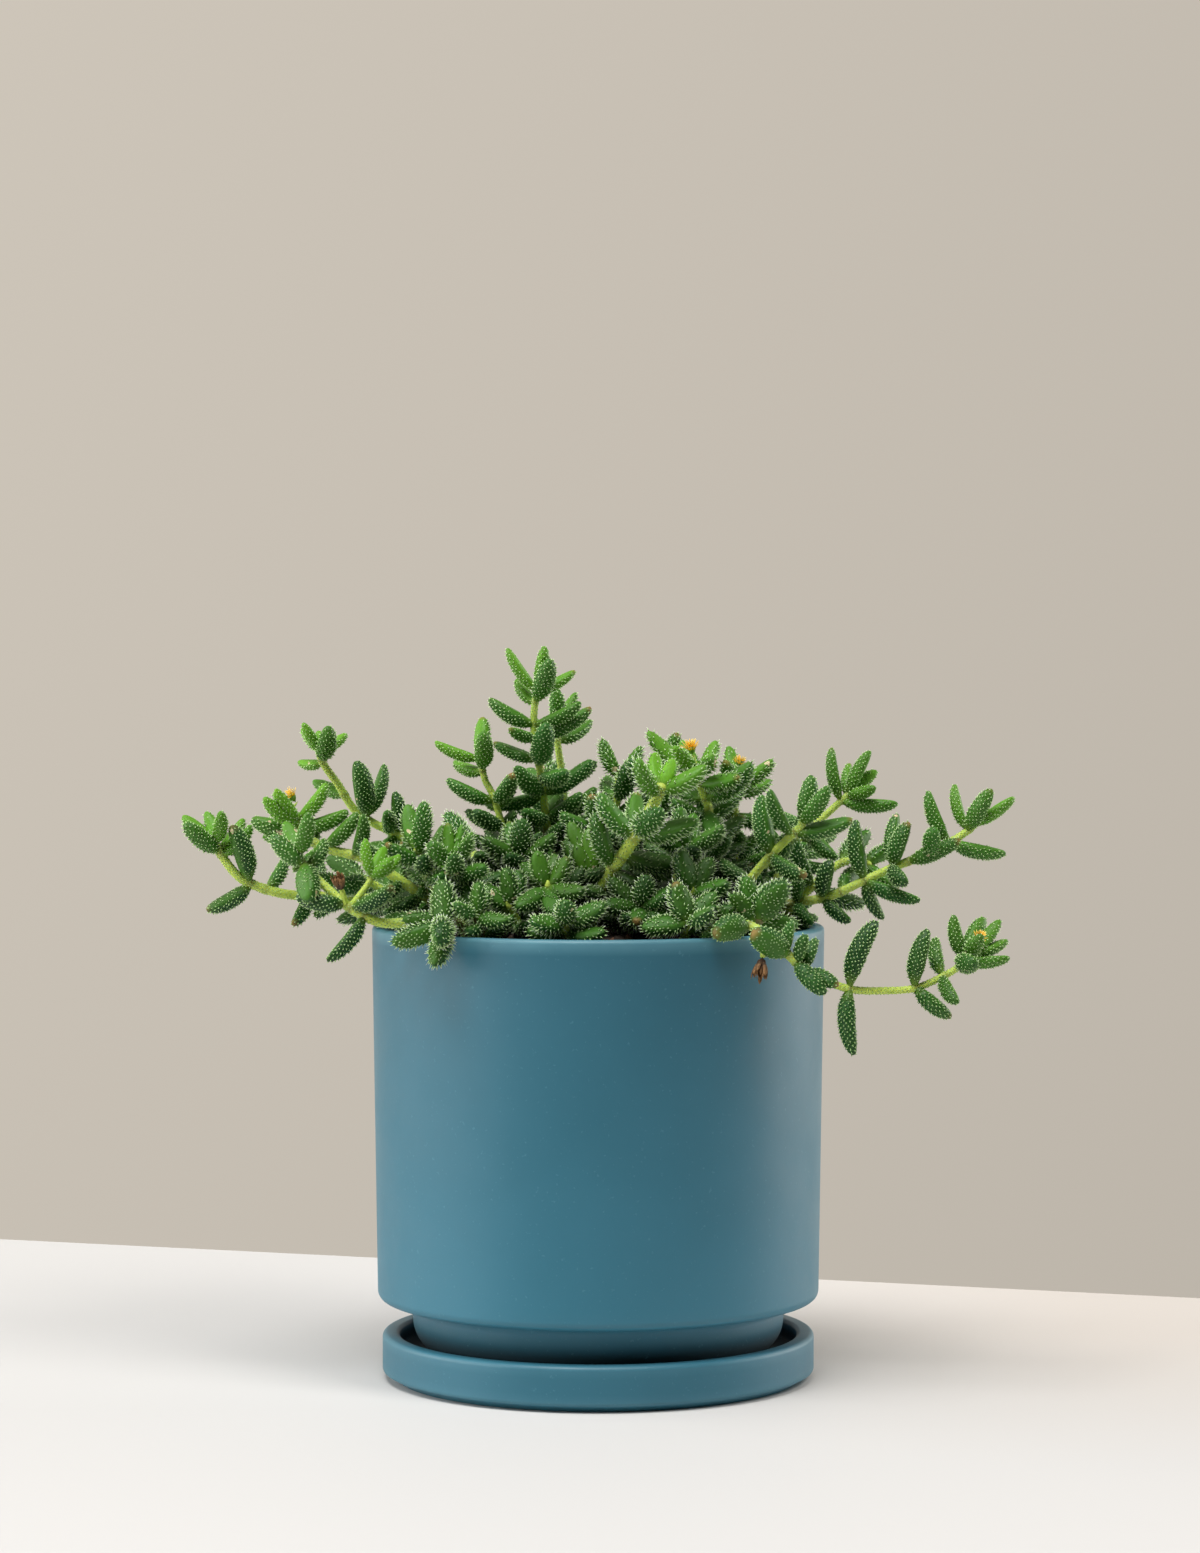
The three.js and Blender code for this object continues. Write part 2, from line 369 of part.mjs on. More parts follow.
// The stem: a straight stretch in its hole (station -1), then tapered along its curve.
function stemSolid(shoot, curve) {
  const foot = vector([...shoot.root, soilTop(Math.hypot(...shoot.root)) - HOLE.depth]);
  const axis = {
    getPoint: (along) => (along < 0 ? foot : curve.getPoint(along)),
    getTangent: (along) => (along < 0 ? new THREE.Vector3(0, 0, 1) : curve.getTangent(along)),
  };
  const steps = stemSteps(curve);
  const stations = Array.from({ length: steps + 1 }, (_, i) => i / steps);
  if (!shoot.on) stations.unshift(-1);
  const profile = stations.map((along) => [along, stemRadius(shoot, Math.max(along, 0))]);
  const across = squareTo(axis.getTangent(stations[0]), new THREE.Vector3(0, 1, 0));
  return carried(axis, [[stations[0], 0], ...profile, [1, 0]], STEM.sides, across);
}

// A leaf's axis: from just behind the middle of the stem to its tip, bowed away from the way the
// stem grows.
function leafCurve(middle, growth, reach) {
  const foot = middle.clone().addScaledVector(reach, -LEAF.behind / reach.length());
  const tip = middle.clone().add(reach);
  const away = growth.clone().addScaledVector(reach, -growth.dot(reach) / reach.lengthSq());
  const control = foot.clone().addScaledVector(reach, 0.5).addScaledVector(away, -LEAF.bow * reach.length());
  return new THREE.QuadraticBezierCurve3(foot, control, tip);
}

function leafSolid(leaf) {
  const profile = LEAF_OUTLINE.map(([along, share]) => [along, (share * leaf.width) / 2]);
  const across = squareTo(leaf.curve.getTangent(0), leaf.growth);
  const sides = leaf.width < LEAF.broad ? LEAF.sides : LEAF.broadSides;
  return carried(leaf.curve, profile, sides, across, LEAF.flatness);
}

// Width of a leaf at a share of its length, read off the outline.
function outlineAt(along) {
  const end = LEAF_OUTLINE.findIndex(([place]) => place >= along);
  if (end <= 0) return 0;
  const [a, wide] = LEAF_OUTLINE[end - 1];
  const [b, next] = LEAF_OUTLINE[end];
  return wide + ((next - wide) * (along - a)) / (b - a);
}

// Balls [x, y, z, radius] that fill a leaf, leaving out its root.
function leafBalls(curve, width) {
  return Array.from({ length: BALLS }, (_, i) => {
    const along = 0.16 + (0.8 * i) / (BALLS - 1);
    const place = curve.getPoint(along);
    return [place.x, place.y, place.z, (outlineAt(along) * width) / 2];
  });
}

function stemBalls(shoot, curve) {
  const count = Math.ceil(curve.getLength() / 1.5);
  return Array.from({ length: count + 1 }, (_, i) => {
    const place = curve.getPoint(i / count);
    return [place.x, place.y, place.z, stemRadius(shoot, i / count)];
  });
}

// Distance from a point to the pot's wall or the soil.
function vesselGap(x, y, z) {
  const distance = Math.hypot(x, y);
  const beside = Math.max(POT.rim - POT.wall - distance, distance - POT.rim);
  const above = z - POT.top;
  const wall = above > 0 ? Math.hypot(Math.max(beside, 0), above) : beside;
  return distance < POT.rim ? Math.min(wall, z - soilTop(distance)) : wall;
}

// Room taken so far, as balls with the node that owns each.
const taken = [];

function claim(owner, balls) {
  for (const ball of balls) taken.push([owner, ...ball]);
}

function isFree(owner, balls) {
  return balls.every(([x, y, z, r]) => vesselGap(x, y, z) > r + SPACE && taken.every(
    ([other, u, v, w, s]) => other === owner || Math.hypot(x - u, y - v, z - w) > r + s + SPACE));
}

// Ways to bend a leaf clear of its neighbours, smallest first, as a shift of its tip.
const SHIFTS = [
  [0, 0, 0], [0, -4, 0], [0, 4, 0], [0, 0, 4], [4, 0, 0], [-4, 0, 0], [0, -8, 2], [0, 8, 2],
  [0, 0, -4], [6, -6, 0], [-6, -6, 0], [6, 6, 0], [-6, 6, 0], [0, -13, 0], [0, 13, 0], [0, 0, 9],
];

function placeLeaf(owner, curve, [at, dx, dy, dz, width]) {
  const sunk = Math.min(at, 1 - LEAF.sunk / curve.getLength());
  const foot = middleOfStem(curve, sunk);
  const growth = curve.getTangent(sunk);
  const wanted = new THREE.Vector3(dx, dy, dz);
  for (const size of [1, 0.8]) {
    for (const shift of SHIFTS) {
      const reach = wanted.clone().add(vector(shift)).setLength(wanted.length() * size);
      const leaf = { curve: leafCurve(foot, growth, reach), growth, width: width * size };
      const balls = leafBalls(leaf.curve, leaf.width);
      if (isFree(owner, balls)) {
        claim(owner, balls);
        return leaf;
      }
    }
  }
  return null;
}

// A repeatable series of draws between 0 and 1.
function draws(seed) {
  let state = seed;
  return () => {
    state = (state * 16807) % 2147483647;
    return state / 2147483647;
  };
}

// The hidden shoots: golden-angle azimuths, arching out over the rim or standing up inside it.
function backShoots(draw) {
  const shoots = [];
  for (let i = 0; i < BACK.count; i += 1) {
    const azimuth = BACK.from + (BACK.to - BACK.from) * ((0.35 + i * BACK.golden) % 1);
    const outer = i % 3 !== 2;
    const start = outer ? 44 + 5 * draw() : 16 + 16 * draw();
    const reach = outer ? 16 + 16 * draw() : 8 + 8 * draw();
    const rise = outer ? 8 + 14 * draw() : 22 + 14 * draw();
    const droop = outer ? 6 * draw() : 0;
    const turn = azimuth + 0.5 * (draw() - 0.5);
    const on = [Math.cos(turn), Math.sin(turn)];
    const root = [Math.cos(azimuth) * start, Math.sin(azimuth) * start];
    const at = (share, height) => [root[0] + on[0] * reach * share, root[1] + on[1] * reach * share, height];
    const low = soilTop(start);
    const stem = [at(0.12, low + 4.5), at(0.42, low + 6 + rise * 0.4), at(0.75, low + 6 + rise * 0.8),
      at(1.05, low + 6 + rise - droop)];
    shoots.push({ name: numbered('shoot_back', i), thick: 1.3, root, stem, roll: draw() * Math.PI, pairs: BACK_PAIRS });
  }
  return shoots;
}

// The low shoots: a golden-angle spiral over the soil, wherever no other root is near.
function lowShoots(roots, draw) {
  const shoots = [];
  for (let i = 0; i < LOW.tries; i += 1) {
    const distance = LOW.radius * Math.sqrt((i + 0.5) / LOW.tries);
    const azimuth = i * 2 * Math.PI * BACK.golden;
    const root = [Math.cos(azimuth) * distance, Math.sin(azimuth) * distance];
    const rise = 7 + 7 * draw();
    const lean = 0.35 * rise;
    const turn = azimuth + 1.6 * (draw() - 0.5);
    const roll = draw() * Math.PI;
    if (roots.every(([x, y]) => Math.hypot(root[0] - x, root[1] - y) > LOW.apart)) {
      const low = soilTop(distance);
      const out = (share) => [root[0] + lean * share * Math.cos(turn), root[1] + lean * share * Math.sin(turn)];
      const stem = [[...out(0.3), low + 3.5], [...out(1), low + 2 + rise]];
      shoots.push({ name: numbered('shoot_low', shoots.length), thick: 1.2, root, stem, roll, pairs: LOW_PAIRS });
      roots.push(root);
    }
  }
  return shoots;
}

function numbered(name, i) {
  return `${name}_${String(i + 1).padStart(2, '0')}`;
}

// Crossed pairs of leaves, shorter and steeper towards the tip.
function pairedLeaves(shoot, curve) {
  const leaves = [];
  shoot.pairs.forEach(([at, open, length, width], pair) => {
    const growth = curve.getTangent(at);
    const turn = shoot.roll + (pair * Math.PI) / 2;
    const across = squareTo(growth, new THREE.Vector3(0, 1, 0)).applyAxisAngle(growth, turn);
    for (const sign of [1, -1]) {
      const reach = growth.clone().multiplyScalar(Math.cos(open) * length)
        .addScaledVector(across, sign * Math.sin(open) * length);
      leaves.push([at, reach.x, reach.y, reach.z, width]);
    }
  });
  return leaves;
}

function fused(solids) {
  return solids.reduce((whole, piece) => whole.add(piece));
}

const part = new THREE.Group();

function addMesh(name, solid, colour, roughness) {
  const material = new THREE.MeshStandardMaterial({ color: colour, roughness, metalness: 0 });
  const mesh = new THREE.Mesh(geometryOf(solid), material);
  mesh.name = name;
  part.add(mesh);
}

// A flower: petals round a small cup at the end of its stalk, all one body.
function bloomSolids(start, axis, length, petals) {
  const across = squareTo(axis, new THREE.Vector3(0, 1, 0));
  const cup = new THREE.LineCurve3(start, start.clone().addScaledVector(axis, length * 0.6));
  const solids = [carried(cup, [[0, 0], [0, 0.6], [0.6, 1.2], [1, 0]], 5, across)];
  const foot = start.clone().addScaledVector(axis, length * 0.15);
  for (let i = 0; i < petals; i += 1) {
    const out = across.clone().applyAxisAngle(axis, (i * 2 * Math.PI) / petals);
    const reach = axis.clone().multiplyScalar(length * 0.85).addScaledVector(out, length * (PETAL.spread + 0.12 * (i % 2)));
    const curve = leafCurve(foot, out.clone().negate(), reach);
    const profile = [[0, 0], [0.65, PETAL.width / 2], [1, 0]];
    solids.push(carried(curve, profile, PETAL.sides, out.clone().cross(axis), PETAL.flatness));
  }
  return solids;
}

const draw = draws(BACK.seed);
const standing = [...SHOOTS, ...backShoots(draw)];
const shoots = [...standing, ...lowShoots(standing.map((shoot) => shoot.root), draw)];
const curves = new Map(shoots.map((shoot) => [shoot.name, stemCurve(shoot)]));
const ownerOf = (shoot) => shoot.on ?? shoot.name;
const solids = new Map(shoots.filter((shoot) => !shoot.on).map((shoot) => [shoot.name, []]));

for (const shoot of shoots) {
  const curve = curves.get(shoot.name);
  const balls = stemBalls(shoot, curve);
  shoot.grows = shoot.on !== undefined || isFreeStem(shoot, balls);
  if (shoot.grows) {
    claim(ownerOf(shoot), balls);
    solids.get(ownerOf(shoot)).push(stemSolid(shoot, curve));
  }
}

// A stem only has to clear the other stems and the rim: its first stretch stands in the soil.
function isFreeStem(shoot, balls) {
  return balls.every(([x, y, z, r]) => (z < SOIL.crown + 4 || vesselGap(x, y, z) > r + CLEAR) && taken.every(
    ([other, u, v, w, s]) => other === shoot.name || Math.hypot(x - u, y - v, z - w) > r + s + SPACE));
}

const blooms = BLOOMS.map(([name, shoot, at, dx, dy, dz, length, petals]) => {
  const curve = curves.get(shoot);
  const foot = curve.getPoint(at);
  const reach = new THREE.Vector3(dx, dy, dz);
  const axis = reach.clone().normalize();
  const stalk = new THREE.LineCurve3(foot, foot.clone().add(reach));
  solids.get(shoot).push(carried(stalk, [[0, 0], [0, 0.75], [1, 0.65], [1, 0]], STEM.sides, squareTo(axis, new THREE.Vector3(0, 1, 0))));
  const start = foot.clone().add(reach).addScaledVector(axis, CLEAR);
  const balls = [0.3, 0.6, 0.9].map((share) => {
    const place = start.clone().addScaledVector(axis, length * share);
    return [place.x, place.y, place.z, 1 + share * 1.6];
  });
  claim(name, balls);
  return { name, start, axis, length, petals };
});

for (const shoot of shoots.filter((each) => each.grows)) {
  const curve = curves.get(shoot.name);
  for (const row of shoot.leaves ?? pairedLeaves(shoot, curve)) {
    const leaf = placeLeaf(ownerOf(shoot), curve, row);
    if (leaf) solids.get(ownerOf(shoot)).push(leafSolid(leaf));
  }
}

addMesh('saucer', saucerSolid(), COLOURS.pot, 0.35);
addMesh('pot', potSolid(), COLOURS.pot, 0.35);
addMesh('soil', soilSolid(shoots.filter((shoot) => shoot.grows && !shoot.on)), COLOURS.soil, 0.95);
for (const [name, pieces] of solids) {
  if (pieces.length) addMesh(name, fused(pieces), COLOURS.leaf, 0.5);
}
for (const bloom of blooms) {
  const colour = bloom.name.startsWith('spent') ? COLOURS.spent : COLOURS.bloom;
  addMesh(bloom.name, fused(bloomSolids(bloom.start, bloom.axis, bloom.length, bloom.petals)), colour, 0.6);
}

export default part;
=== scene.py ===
"""Looks of a potted pickle plant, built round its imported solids.

Every size in the tables is in millimetres, as in the part's source, and meshes are made in metres.
+Z is up, the origin is the centre of the saucer's underside and -Y is the front.
"""

import logging
import math
from collections.abc import Callable, Sequence
from dataclasses import dataclass, field
from enum import Enum

import bpy
import numpy as np
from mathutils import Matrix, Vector
from numpy.typing import NDArray


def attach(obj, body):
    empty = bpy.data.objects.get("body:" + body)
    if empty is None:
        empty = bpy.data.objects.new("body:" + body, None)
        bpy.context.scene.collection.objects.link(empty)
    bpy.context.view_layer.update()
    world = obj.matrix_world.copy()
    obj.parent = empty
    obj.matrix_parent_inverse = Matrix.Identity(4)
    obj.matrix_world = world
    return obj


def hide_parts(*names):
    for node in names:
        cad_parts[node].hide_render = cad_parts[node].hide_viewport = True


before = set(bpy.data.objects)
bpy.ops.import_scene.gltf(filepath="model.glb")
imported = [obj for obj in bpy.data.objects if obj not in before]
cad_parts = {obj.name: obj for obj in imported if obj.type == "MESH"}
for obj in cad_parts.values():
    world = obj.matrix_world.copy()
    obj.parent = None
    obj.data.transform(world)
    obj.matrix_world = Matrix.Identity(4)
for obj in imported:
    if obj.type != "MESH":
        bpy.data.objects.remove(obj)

Array = NDArray[np.float64]
Pair = tuple[float, float]
Triple = tuple[float, float, float]
Colour = Triple
Rows = Sequence[Sequence[float]]
Random = np.random.Generator
Piece = bpy.types.Object
Finish = bpy.types.Material
Socket = bpy.types.NodeSocket
log = logging.getLogger("pickle_plant")

MM = 0.001
BACKWARD = np.array([0.0, 1, 0])
RIGHTWARD = np.array([1.0, 0, 0])


class Slot(Enum):
    """The record's material slots."""

    GLAZE = "glaze"
    SOIL = "soil"
    LEAF = "leaf"
    PETAL = "petal"
    DRIED = "dried_flower"


# Each shoot as it stands in the pot: its name, its radius at the root, where it leaves the soil [x, y],
# the points that its stem then passes, its leaves, and the shoot that it grows on, if any. A leaf is
# [share of the way up the stem, reach to its tip in x, y and z, width].
SHOOTS = [
    ["shoot_tall", 1.3, [-13, 10],
     [[-13, 9, 125], [-13.5, 8, 143], [-14.5, 7, 153], [-15.5, 6, 161], [-17, 5, 169.5], [-17, 4, 177.5],
      [-16, 3, 183]],
     [[1, -8, 0, 11.5, 3.6], [1, 2, -3, 12, 3.4], [0.9, 4, -6, 11.5, 5.2], [1, 10, 3, 5.5, 3.4],
      [0.89, -5, 6, 6.5, 3.6], [0.78, -12, -1, 7, 4.8], [0.78, 12.5, -3, 6, 4.4], [0.72, 15, 2, 8, 4.6],
      [0.72, -6.5, -8.5, 2.5, 3.8], [0.6, 2, -10, 11, 6], [0.62, -12, 4, 4.5, 4], [0.46, -7, -8, 7.5, 5.2],
      [0.46, 13, 0, 9, 5], [0.46, -14, 1, -3, 4.6], [0.54, 6.5, -12, 1.5, 5.6], [0.3, 6, -10, 5, 5],
      [0.3, -6, 9, 6, 4.6]]],
    ["shoot_tall_back", 1.3, [-5, 24],
     [[-6, 23, 128], [-8.5, 20, 139], [-9, 20, 148.5], [-10, 19, 160.5], [-11, 18, 168.5],
      [-11, 18, 173.5]],
     [[1, -0.5, -3, 10.5, 4.2], [1, 5, 3, 9, 3.6], [0.84, 9, 8, 5.5, 4.2], [0.84, -6, 10, 5.5, 4.2],
      [0.64, 9, 11, 4.5, 4.6], [0.64, -9.5, 11, 2.5, 4.6], [0.44, 4, 13, 3, 4.8], [0.3, 12, 8, 2, 4.8]]],
    ["shoot_thin_left", 1.2, [-22, 2],
     [[-22, 1, 124], [-23, 0, 132], [-24.5, 0, 140], [-25.5, 0, 146.5], [-28, 0, 154.5], [-30, 0, 158.5],
      [-31, 0, 162.5], [-31.5, 0, 165]],
     [[0.61, -12.5, 0, 6, 4.8], [0.61, 6, -4.5, 9, 4.6], [1, -12, 0, 4.5, 3.8], [0.85, 0.5, -8, 10, 4.8],
      [1, 0.5, 5, 11, 4.2], [0.82, -8, 8.5, 2.5, 3.8], [0.38, 8, 9.5, 4.5, 4.4], [0.38, -8, -9, -1, 4.6]]],
    ["shoot_left_upper", 1.4, [-33, 18],
     [[-37, 17, 125], [-45.5, 14, 134], [-53, 12, 143], [-60, 11, 146.5], [-65.5, 10, 150.5],
      [-69.5, 8, 157], [-73.5, 6, 163], [-74.5, 5, 167]],
     [[0.9, 2, -7.5, 9, 5.4], [1, 7, 4, 4.5, 3.4], [0.98, -4, -5, 7.5, 3.2], [1, -5, 4.5, 6, 3],
      [0.95, -1, 6.5, 6, 3.2], [0.88, -7, 6, 0, 3.2], [0.56, -2, -7, 15, 6.4], [0.56, 5, 4, 14, 4.6],
      [0.44, 0, -11, 5, 4.4], [0.7, -9, 8, 3.5, 4], [0.4, -4, 12, 4, 4.6]]],
    ["shoot_left_flower", 1.6, [-33, -11],
     [[-37, -13, 124], [-45, -18, 128.5], [-55.5, -20, 135.5], [-62, -20, 139], [-71.5, -20, 141.5],
      [-77, -20, 145.5], [-80, -20.5, 150.5]],
     [[0.9, -11, -1, 8, 4], [0.9, -8, 4, 10, 3.8], [0.93, -5, -7, 9, 3.4], [0.84, -14, 0, 4, 5.8],
      [0.8, -13, 5, 0.5, 4.2], [0.76, -6, 10, 7, 4.2], [0.94, 8, 1, 10, 4.2], [0.72, 9, 0, 9, 4.6],
      [0.6, 3, -8, 11, 4.4], [0.44, -6, -10, 7, 4.4], [0.72, -7, -11, -5, 4.8], [0.9, 12.5, 4, 4, 4.8]]],
    ["shoot_left_middle", 1.3, [-37, -19],
     [[-38.5, -20, 124], [-42, -23, 130], [-46, -26, 138], [-47, -27, 142]],
     [[0.92, 1.5, -5, 13.5, 5.2], [0.95, -3, 5, 12, 4.6], [0.8, 8, 6, 6, 4.6], [0.8, -9, -5, 5, 4.8],
      [0.62, 4, -12, 1, 5], [0.62, -6, 9, -1, 4.6]]],
    ["shoot_left_rosette", 1.3, [-28, -23],
     [[-31, -26, 125], [-36, -30, 133], [-38.5, -31.5, 139]],
     [[0.96, -5, -6, 6, 4.5], [0.96, 5, -5, 7.5, 4.5], [1, -1, 2, 10.5, 3.8], [1, 3, 1, 10, 3.8],
      [0.98, 5.5, 4, 8, 3.8], [0.8, -3, -9, -6, 4.8], [0.8, 8, -8, 2, 5.2], [0.6, 11, 2, 4, 4.6]]],
    ["shoot_left_low", 1.5, [-38, -27],
     [[-40.5, -30.5, 122.2], [-44.5, -36.5, 123.8], [-50, -40.5, 123.2], [-56.5, -41, 123.5],
      [-63.5, -40, 127], [-70, -38, 132.5], [-75.5, -36, 137.5], [-77.5, -35, 141.5]],
     [[0.64, -13, -1, 2, 4.8], [0.62, 11, -9, 6, 4.8], [0.98, 3, -6.5, 11, 4.4], [0.88, -8.5, 0, 8, 4.8],
      [0.86, 4, 9, 7, 4.4], [0.9, 2, -9, -9, 6.2], [0.56, -9, -7, -11, 4.4], [0.98, -4, 7, 8, 3.8]]],
    ["shoot_left_young", 1, [-63.5, -40],
     [[-63.5, -40, 127], [-60, -39, 131.5], [-57, -38.5, 136]],
     [[0.84, 5.5, -3, 5.5, 3.4], [1, -1.5, -2, 10, 3.4], [1, 7, 4, 5.5, 3.4],
      [1, 3, 6, 7.5, 3.6]], "shoot_left_low"],
    ["shoot_left_rim", 1.5, [-33, -36],
     [[-34.5, -39, 122.2], [-37, -44.5, 123.8], [-40, -50, 122.5]],
     [[0.96, -0.5, 2, 12, 6], [0.98, -1, -12.5, -2.5, 6.2], [0.96, -2, -8, -9, 5.6], [0.9, -13, -3, -4, 5]]],
    ["shoot_rim_young", 1.1, [-29, -42],
     [[-30, -43.5, 121.8], [-32, -46.5, 127]],
     [[0.95, 1, -2, 8.5, 4], [0.9, 8.5, -4, -1, 4], [0.9, -6, -4, 4.5, 3.8], [0.95, 3, 5, 7, 3.6]]],
    ["shoot_far_left", 1.6, [-42, 10],
     [[-45, 10.5, 122.8], [-53, 10, 124.8], [-59.5, 6, 126.5], [-71.5, 0, 127.5], [-83, -4, 128.5],
      [-91, -6, 131], [-95.5, -8, 134], [-99.5, -9, 139.5], [-101, -10, 143]],
     [[0.7, -4, -6, 15, 6.4], [0.68, -12, 0, -7, 4.8], [0.9, -8.5, -6, 8, 5.2], [0.98, -9, 4, 7, 3.8],
      [0.98, 2, -7, 8.5, 4], [0.92, 6, 6, 8, 3.8], [0.88, 8, -1, 8, 4], [1, -3, 5, 8, 3.4],
      [0.5, 3, 11, 8.5, 4.4], [0.5, -3, -10.5, -7, 4.4], [0.62, 4, 10, 8, 4.2]]],
    ["shoot_centre_front", 1.6, [-2, -22],
     [[-1.5, -24, 124], [-0.5, -28, 128.5], [1.5, -31, 133], [4, -33, 137], [6.5, -35, 140.5],
      [10, -39, 146], [13.5, -42, 152.5], [15.5, -43, 156.5], [16.5, -44, 159]],
     [[0.45, -4.5, -5, 14.5, 5.4], [0.44, 13, -2, -6.5, 5.4], [0.44, -11.5, 8, -3, 4.8],
      [0.65, -9, -2, 11, 5.4], [0.65, 16, 0, 4, 5.4], [0.67, 6, -12, 6.5, 5.8], [0.88, -5, -6, 9.5, 5],
      [0.92, 12, 0, 6.5, 4.8], [1, -1.5, 7, 8.5, 4.2], [1, 3, 3, 7, 3.6], [0.54, 15.5, 7, -2.5, 5.8],
      [0.67, 0, 10, 10, 4.6]]],
    ["shoot_centre_low", 1.3, [-12, -30],
     [[-12, -31.5, 124], [-12, -35, 128.5], [-13, -39, 134]],
     [[1, -3, -1, 9, 4.4], [1, 5, -1, 7.5, 4.4], [0.95, -7, 8, 5.5, 4.6], [0.88, -8, -8, -4.5, 5],
      [0.88, 2, -10, -6, 5.2], [0.9, 9, -8, -0.5, 4.6], [1, 1.5, 6, 8, 3.8], [0.6, -8, 9, 3, 4.4]]],
    ["shoot_centre_middle", 1.3, [4, -14],
     [[2.8, -16, 125], [-0.5, -21, 131], [-2, -24, 135.5]],
     [[0.85, -13, -5, -2, 5.6], [0.9, -4, -4, 7.5, 4.4], [1, -3.5, -11, 5, 5.6], [1, -1, 0, 12.5, 4.4],
      [1, -6, 4, 14, 4.8], [0.95, 5, 9, 6, 4.4], [0.7, 8, -9, -2, 4.6]]],
    ["shoot_front_left", 1.2, [-8, -44],
     [[-8, -45.5, 121.5], [-8.5, -49, 125]],
     [[0.95, 10, -1, 5, 5], [0.95, -10, -3, 1.5, 4.8], [0.95, 0.5, -7, 6, 4.8], [0.85, -3, 7, 7, 4.4],
      [0.4, 11, -3, 0.5, 5], [0.4, -10, -2, 0.5, 4.8]]],
    ["shoot_front_right", 1.2, [22, -43],
     [[22.5, -44.5, 121.5], [23.5, -48.5, 125.5]],
     [[0.95, -12, -2, -1.5, 5.2], [0.95, 5, -8, 3, 4.6], [1, -3.5, -1, 10, 5.6], [0.9, 7, 3, 7, 4.6],
      [0.4, 10, -3, 0.5, 5]]],
    ["shoot_low_left", 1.2, [-20, -34],
     [[-21, -35.5, 124], [-23.5, -38.5, 128.5]],
     [[1, -1, -1, 10, 4.4], [0.95, -8, -4, 5, 4.8], [0.95, 7, -5, 4.5, 4.8], [0.85, -2, -10, -1, 5],
      [0.9, 3, 7, 6.5, 4.4]]],
    ["shoot_low_centre", 1.2, [10, -32],
     [[10.5, -34, 124], [11, -38, 129]],
     [[0.95, 8, -7, -4, 5.6], [0.95, -9, -6, 0.5, 5.2], [1, 2, -4, 9.5, 4.8], [1, -4, 4, 9, 4.6],
      [0.9, 9, 5, 5, 4.8], [0.8, -1, -11, -3, 5], [0.3, -3, -12, -1.5, 5], [0.3, -11, -4, -1, 5]]],
    ["shoot_low_right", 1.2, [22, -27],
     [[23, -29.5, 125], [24.5, -34, 132]],
     [[1, -3, -2, 11, 5.6], [0.95, -10, -5, 2, 5.2], [0.95, 9, -6, 3, 5], [1, 5, 3, 9, 4.8],
      [0.8, -2, -11, -4, 5.2], [0.8, 6, 9, 2, 4.8]]],
    ["shoot_middle_right", 1.3, [17, -12],
     [[18.5, -14.5, 127], [22, -19, 138], [23.5, -21, 142]],
     [[1, -2, -3, 11, 5.2], [0.95, 9, -6, 6, 5.2], [0.95, -9, -5, 5, 5], [0.95, 2, 7, 9, 4.6],
      [0.7, 3, -12, 0, 5.2], [0.7, -10, 5, 4, 4.8], [0.5, 10, -4, -2, 5]]],
    ["shoot_middle_left", 1.3, [-17, -10],
     [[-18, -13, 127], [-20, -19, 136], [-20.5, -21, 140]],
     [[1, 1, -4, 10, 5.2], [0.95, -9, -5, 5, 5], [0.95, 9, -4, 6, 5], [0.95, -3, 6, 9, 4.6],
      [0.7, -3, -12, 0, 5.2], [0.7, 8, 8, 4, 4.8], [0.5, -9, 6, -1, 5]]],
    ["shoot_middle", 1.3, [6, 2],
     [[5, 0, 128], [1, -4, 141], [0, -5, 146]],
     [[1, -2, -5, 10, 5], [0.95, 10, -2, 6, 5], [0.95, -10, -3, 5, 5], [0.95, 2, 8, 8, 4.6],
      [0.72, 2, -12, 3, 5.2], [0.72, 9, 8, 2, 4.8], [0.5, -11, 2, 2, 5], [0.5, 10, -7, 0, 5]]],
    ["shoot_top_right", 1.4, [26, 1],
     [[26.5, 0, 124], [27, 0, 132], [28.5, 0, 140], [29.5, -2, 149.5], [27.5, -5, 156], [26, -8, 160],
      [25, -9, 164]],
     [[0.86, -13, 0, 11.5, 4.4], [0.9, -7, -6, 8, 3.6], [0.9, 4, -8, 4, 4.8], [0.78, 10, -8, 2, 4.6],
      [0.66, 12, -7, 9.5, 6.2], [0.6, 3, -11, -7, 5], [0.48, -6.5, -10, 5, 4.4], [0.84, 5, 7, 9.5, 4],
      [0.66, -10, 10, 5, 4.6], [0.86, -4, 6, 9, 3.8], [0.48, 8, 11, 4, 4.6]]],
    ["shoot_top_right_back", 1.2, [35, 14],
     [[36, 13, 130], [37, 12, 143.5], [36.5, 10, 153], [37, 8, 160]],
     [[0.86, -3, -11, 7.5, 4.4], [0.88, -1.5, 7, 10.5, 4], [0.88, 10, -2, 7, 4.4], [0.82, 10, 9, 3, 4],
      [0.64, -8, 10, 3, 4.4], [0.64, 8, -11, -1.5, 4.8], [0.46, -2, 13, 3, 4.6]]],
    ["shoot_right_up", 1.4, [34, -12],
     [[35, -13.2, 123], [36.5, -15, 127], [39, -18, 132], [44, -20, 138.5], [50, -22, 144.5],
      [52.5, -23, 147], [53.5, -23, 149.5]],
     [[0.6, -2.5, 0, 15.5, 5.8], [0.76, -6, -5, 12, 4.4], [0.6, 8.5, -10, -5, 5.2],
      [0.94, 2.5, 0, 12, 4.6], [0.9, 7, -5, 10, 4.4], [0.78, 15, 0, 3.5, 4.8], [0.76, -3, 11, -7, 4.8],
      [0.45, -8, 10, 5, 4.4]]],
    ["shoot_right_back", 1.3, [43, 12],
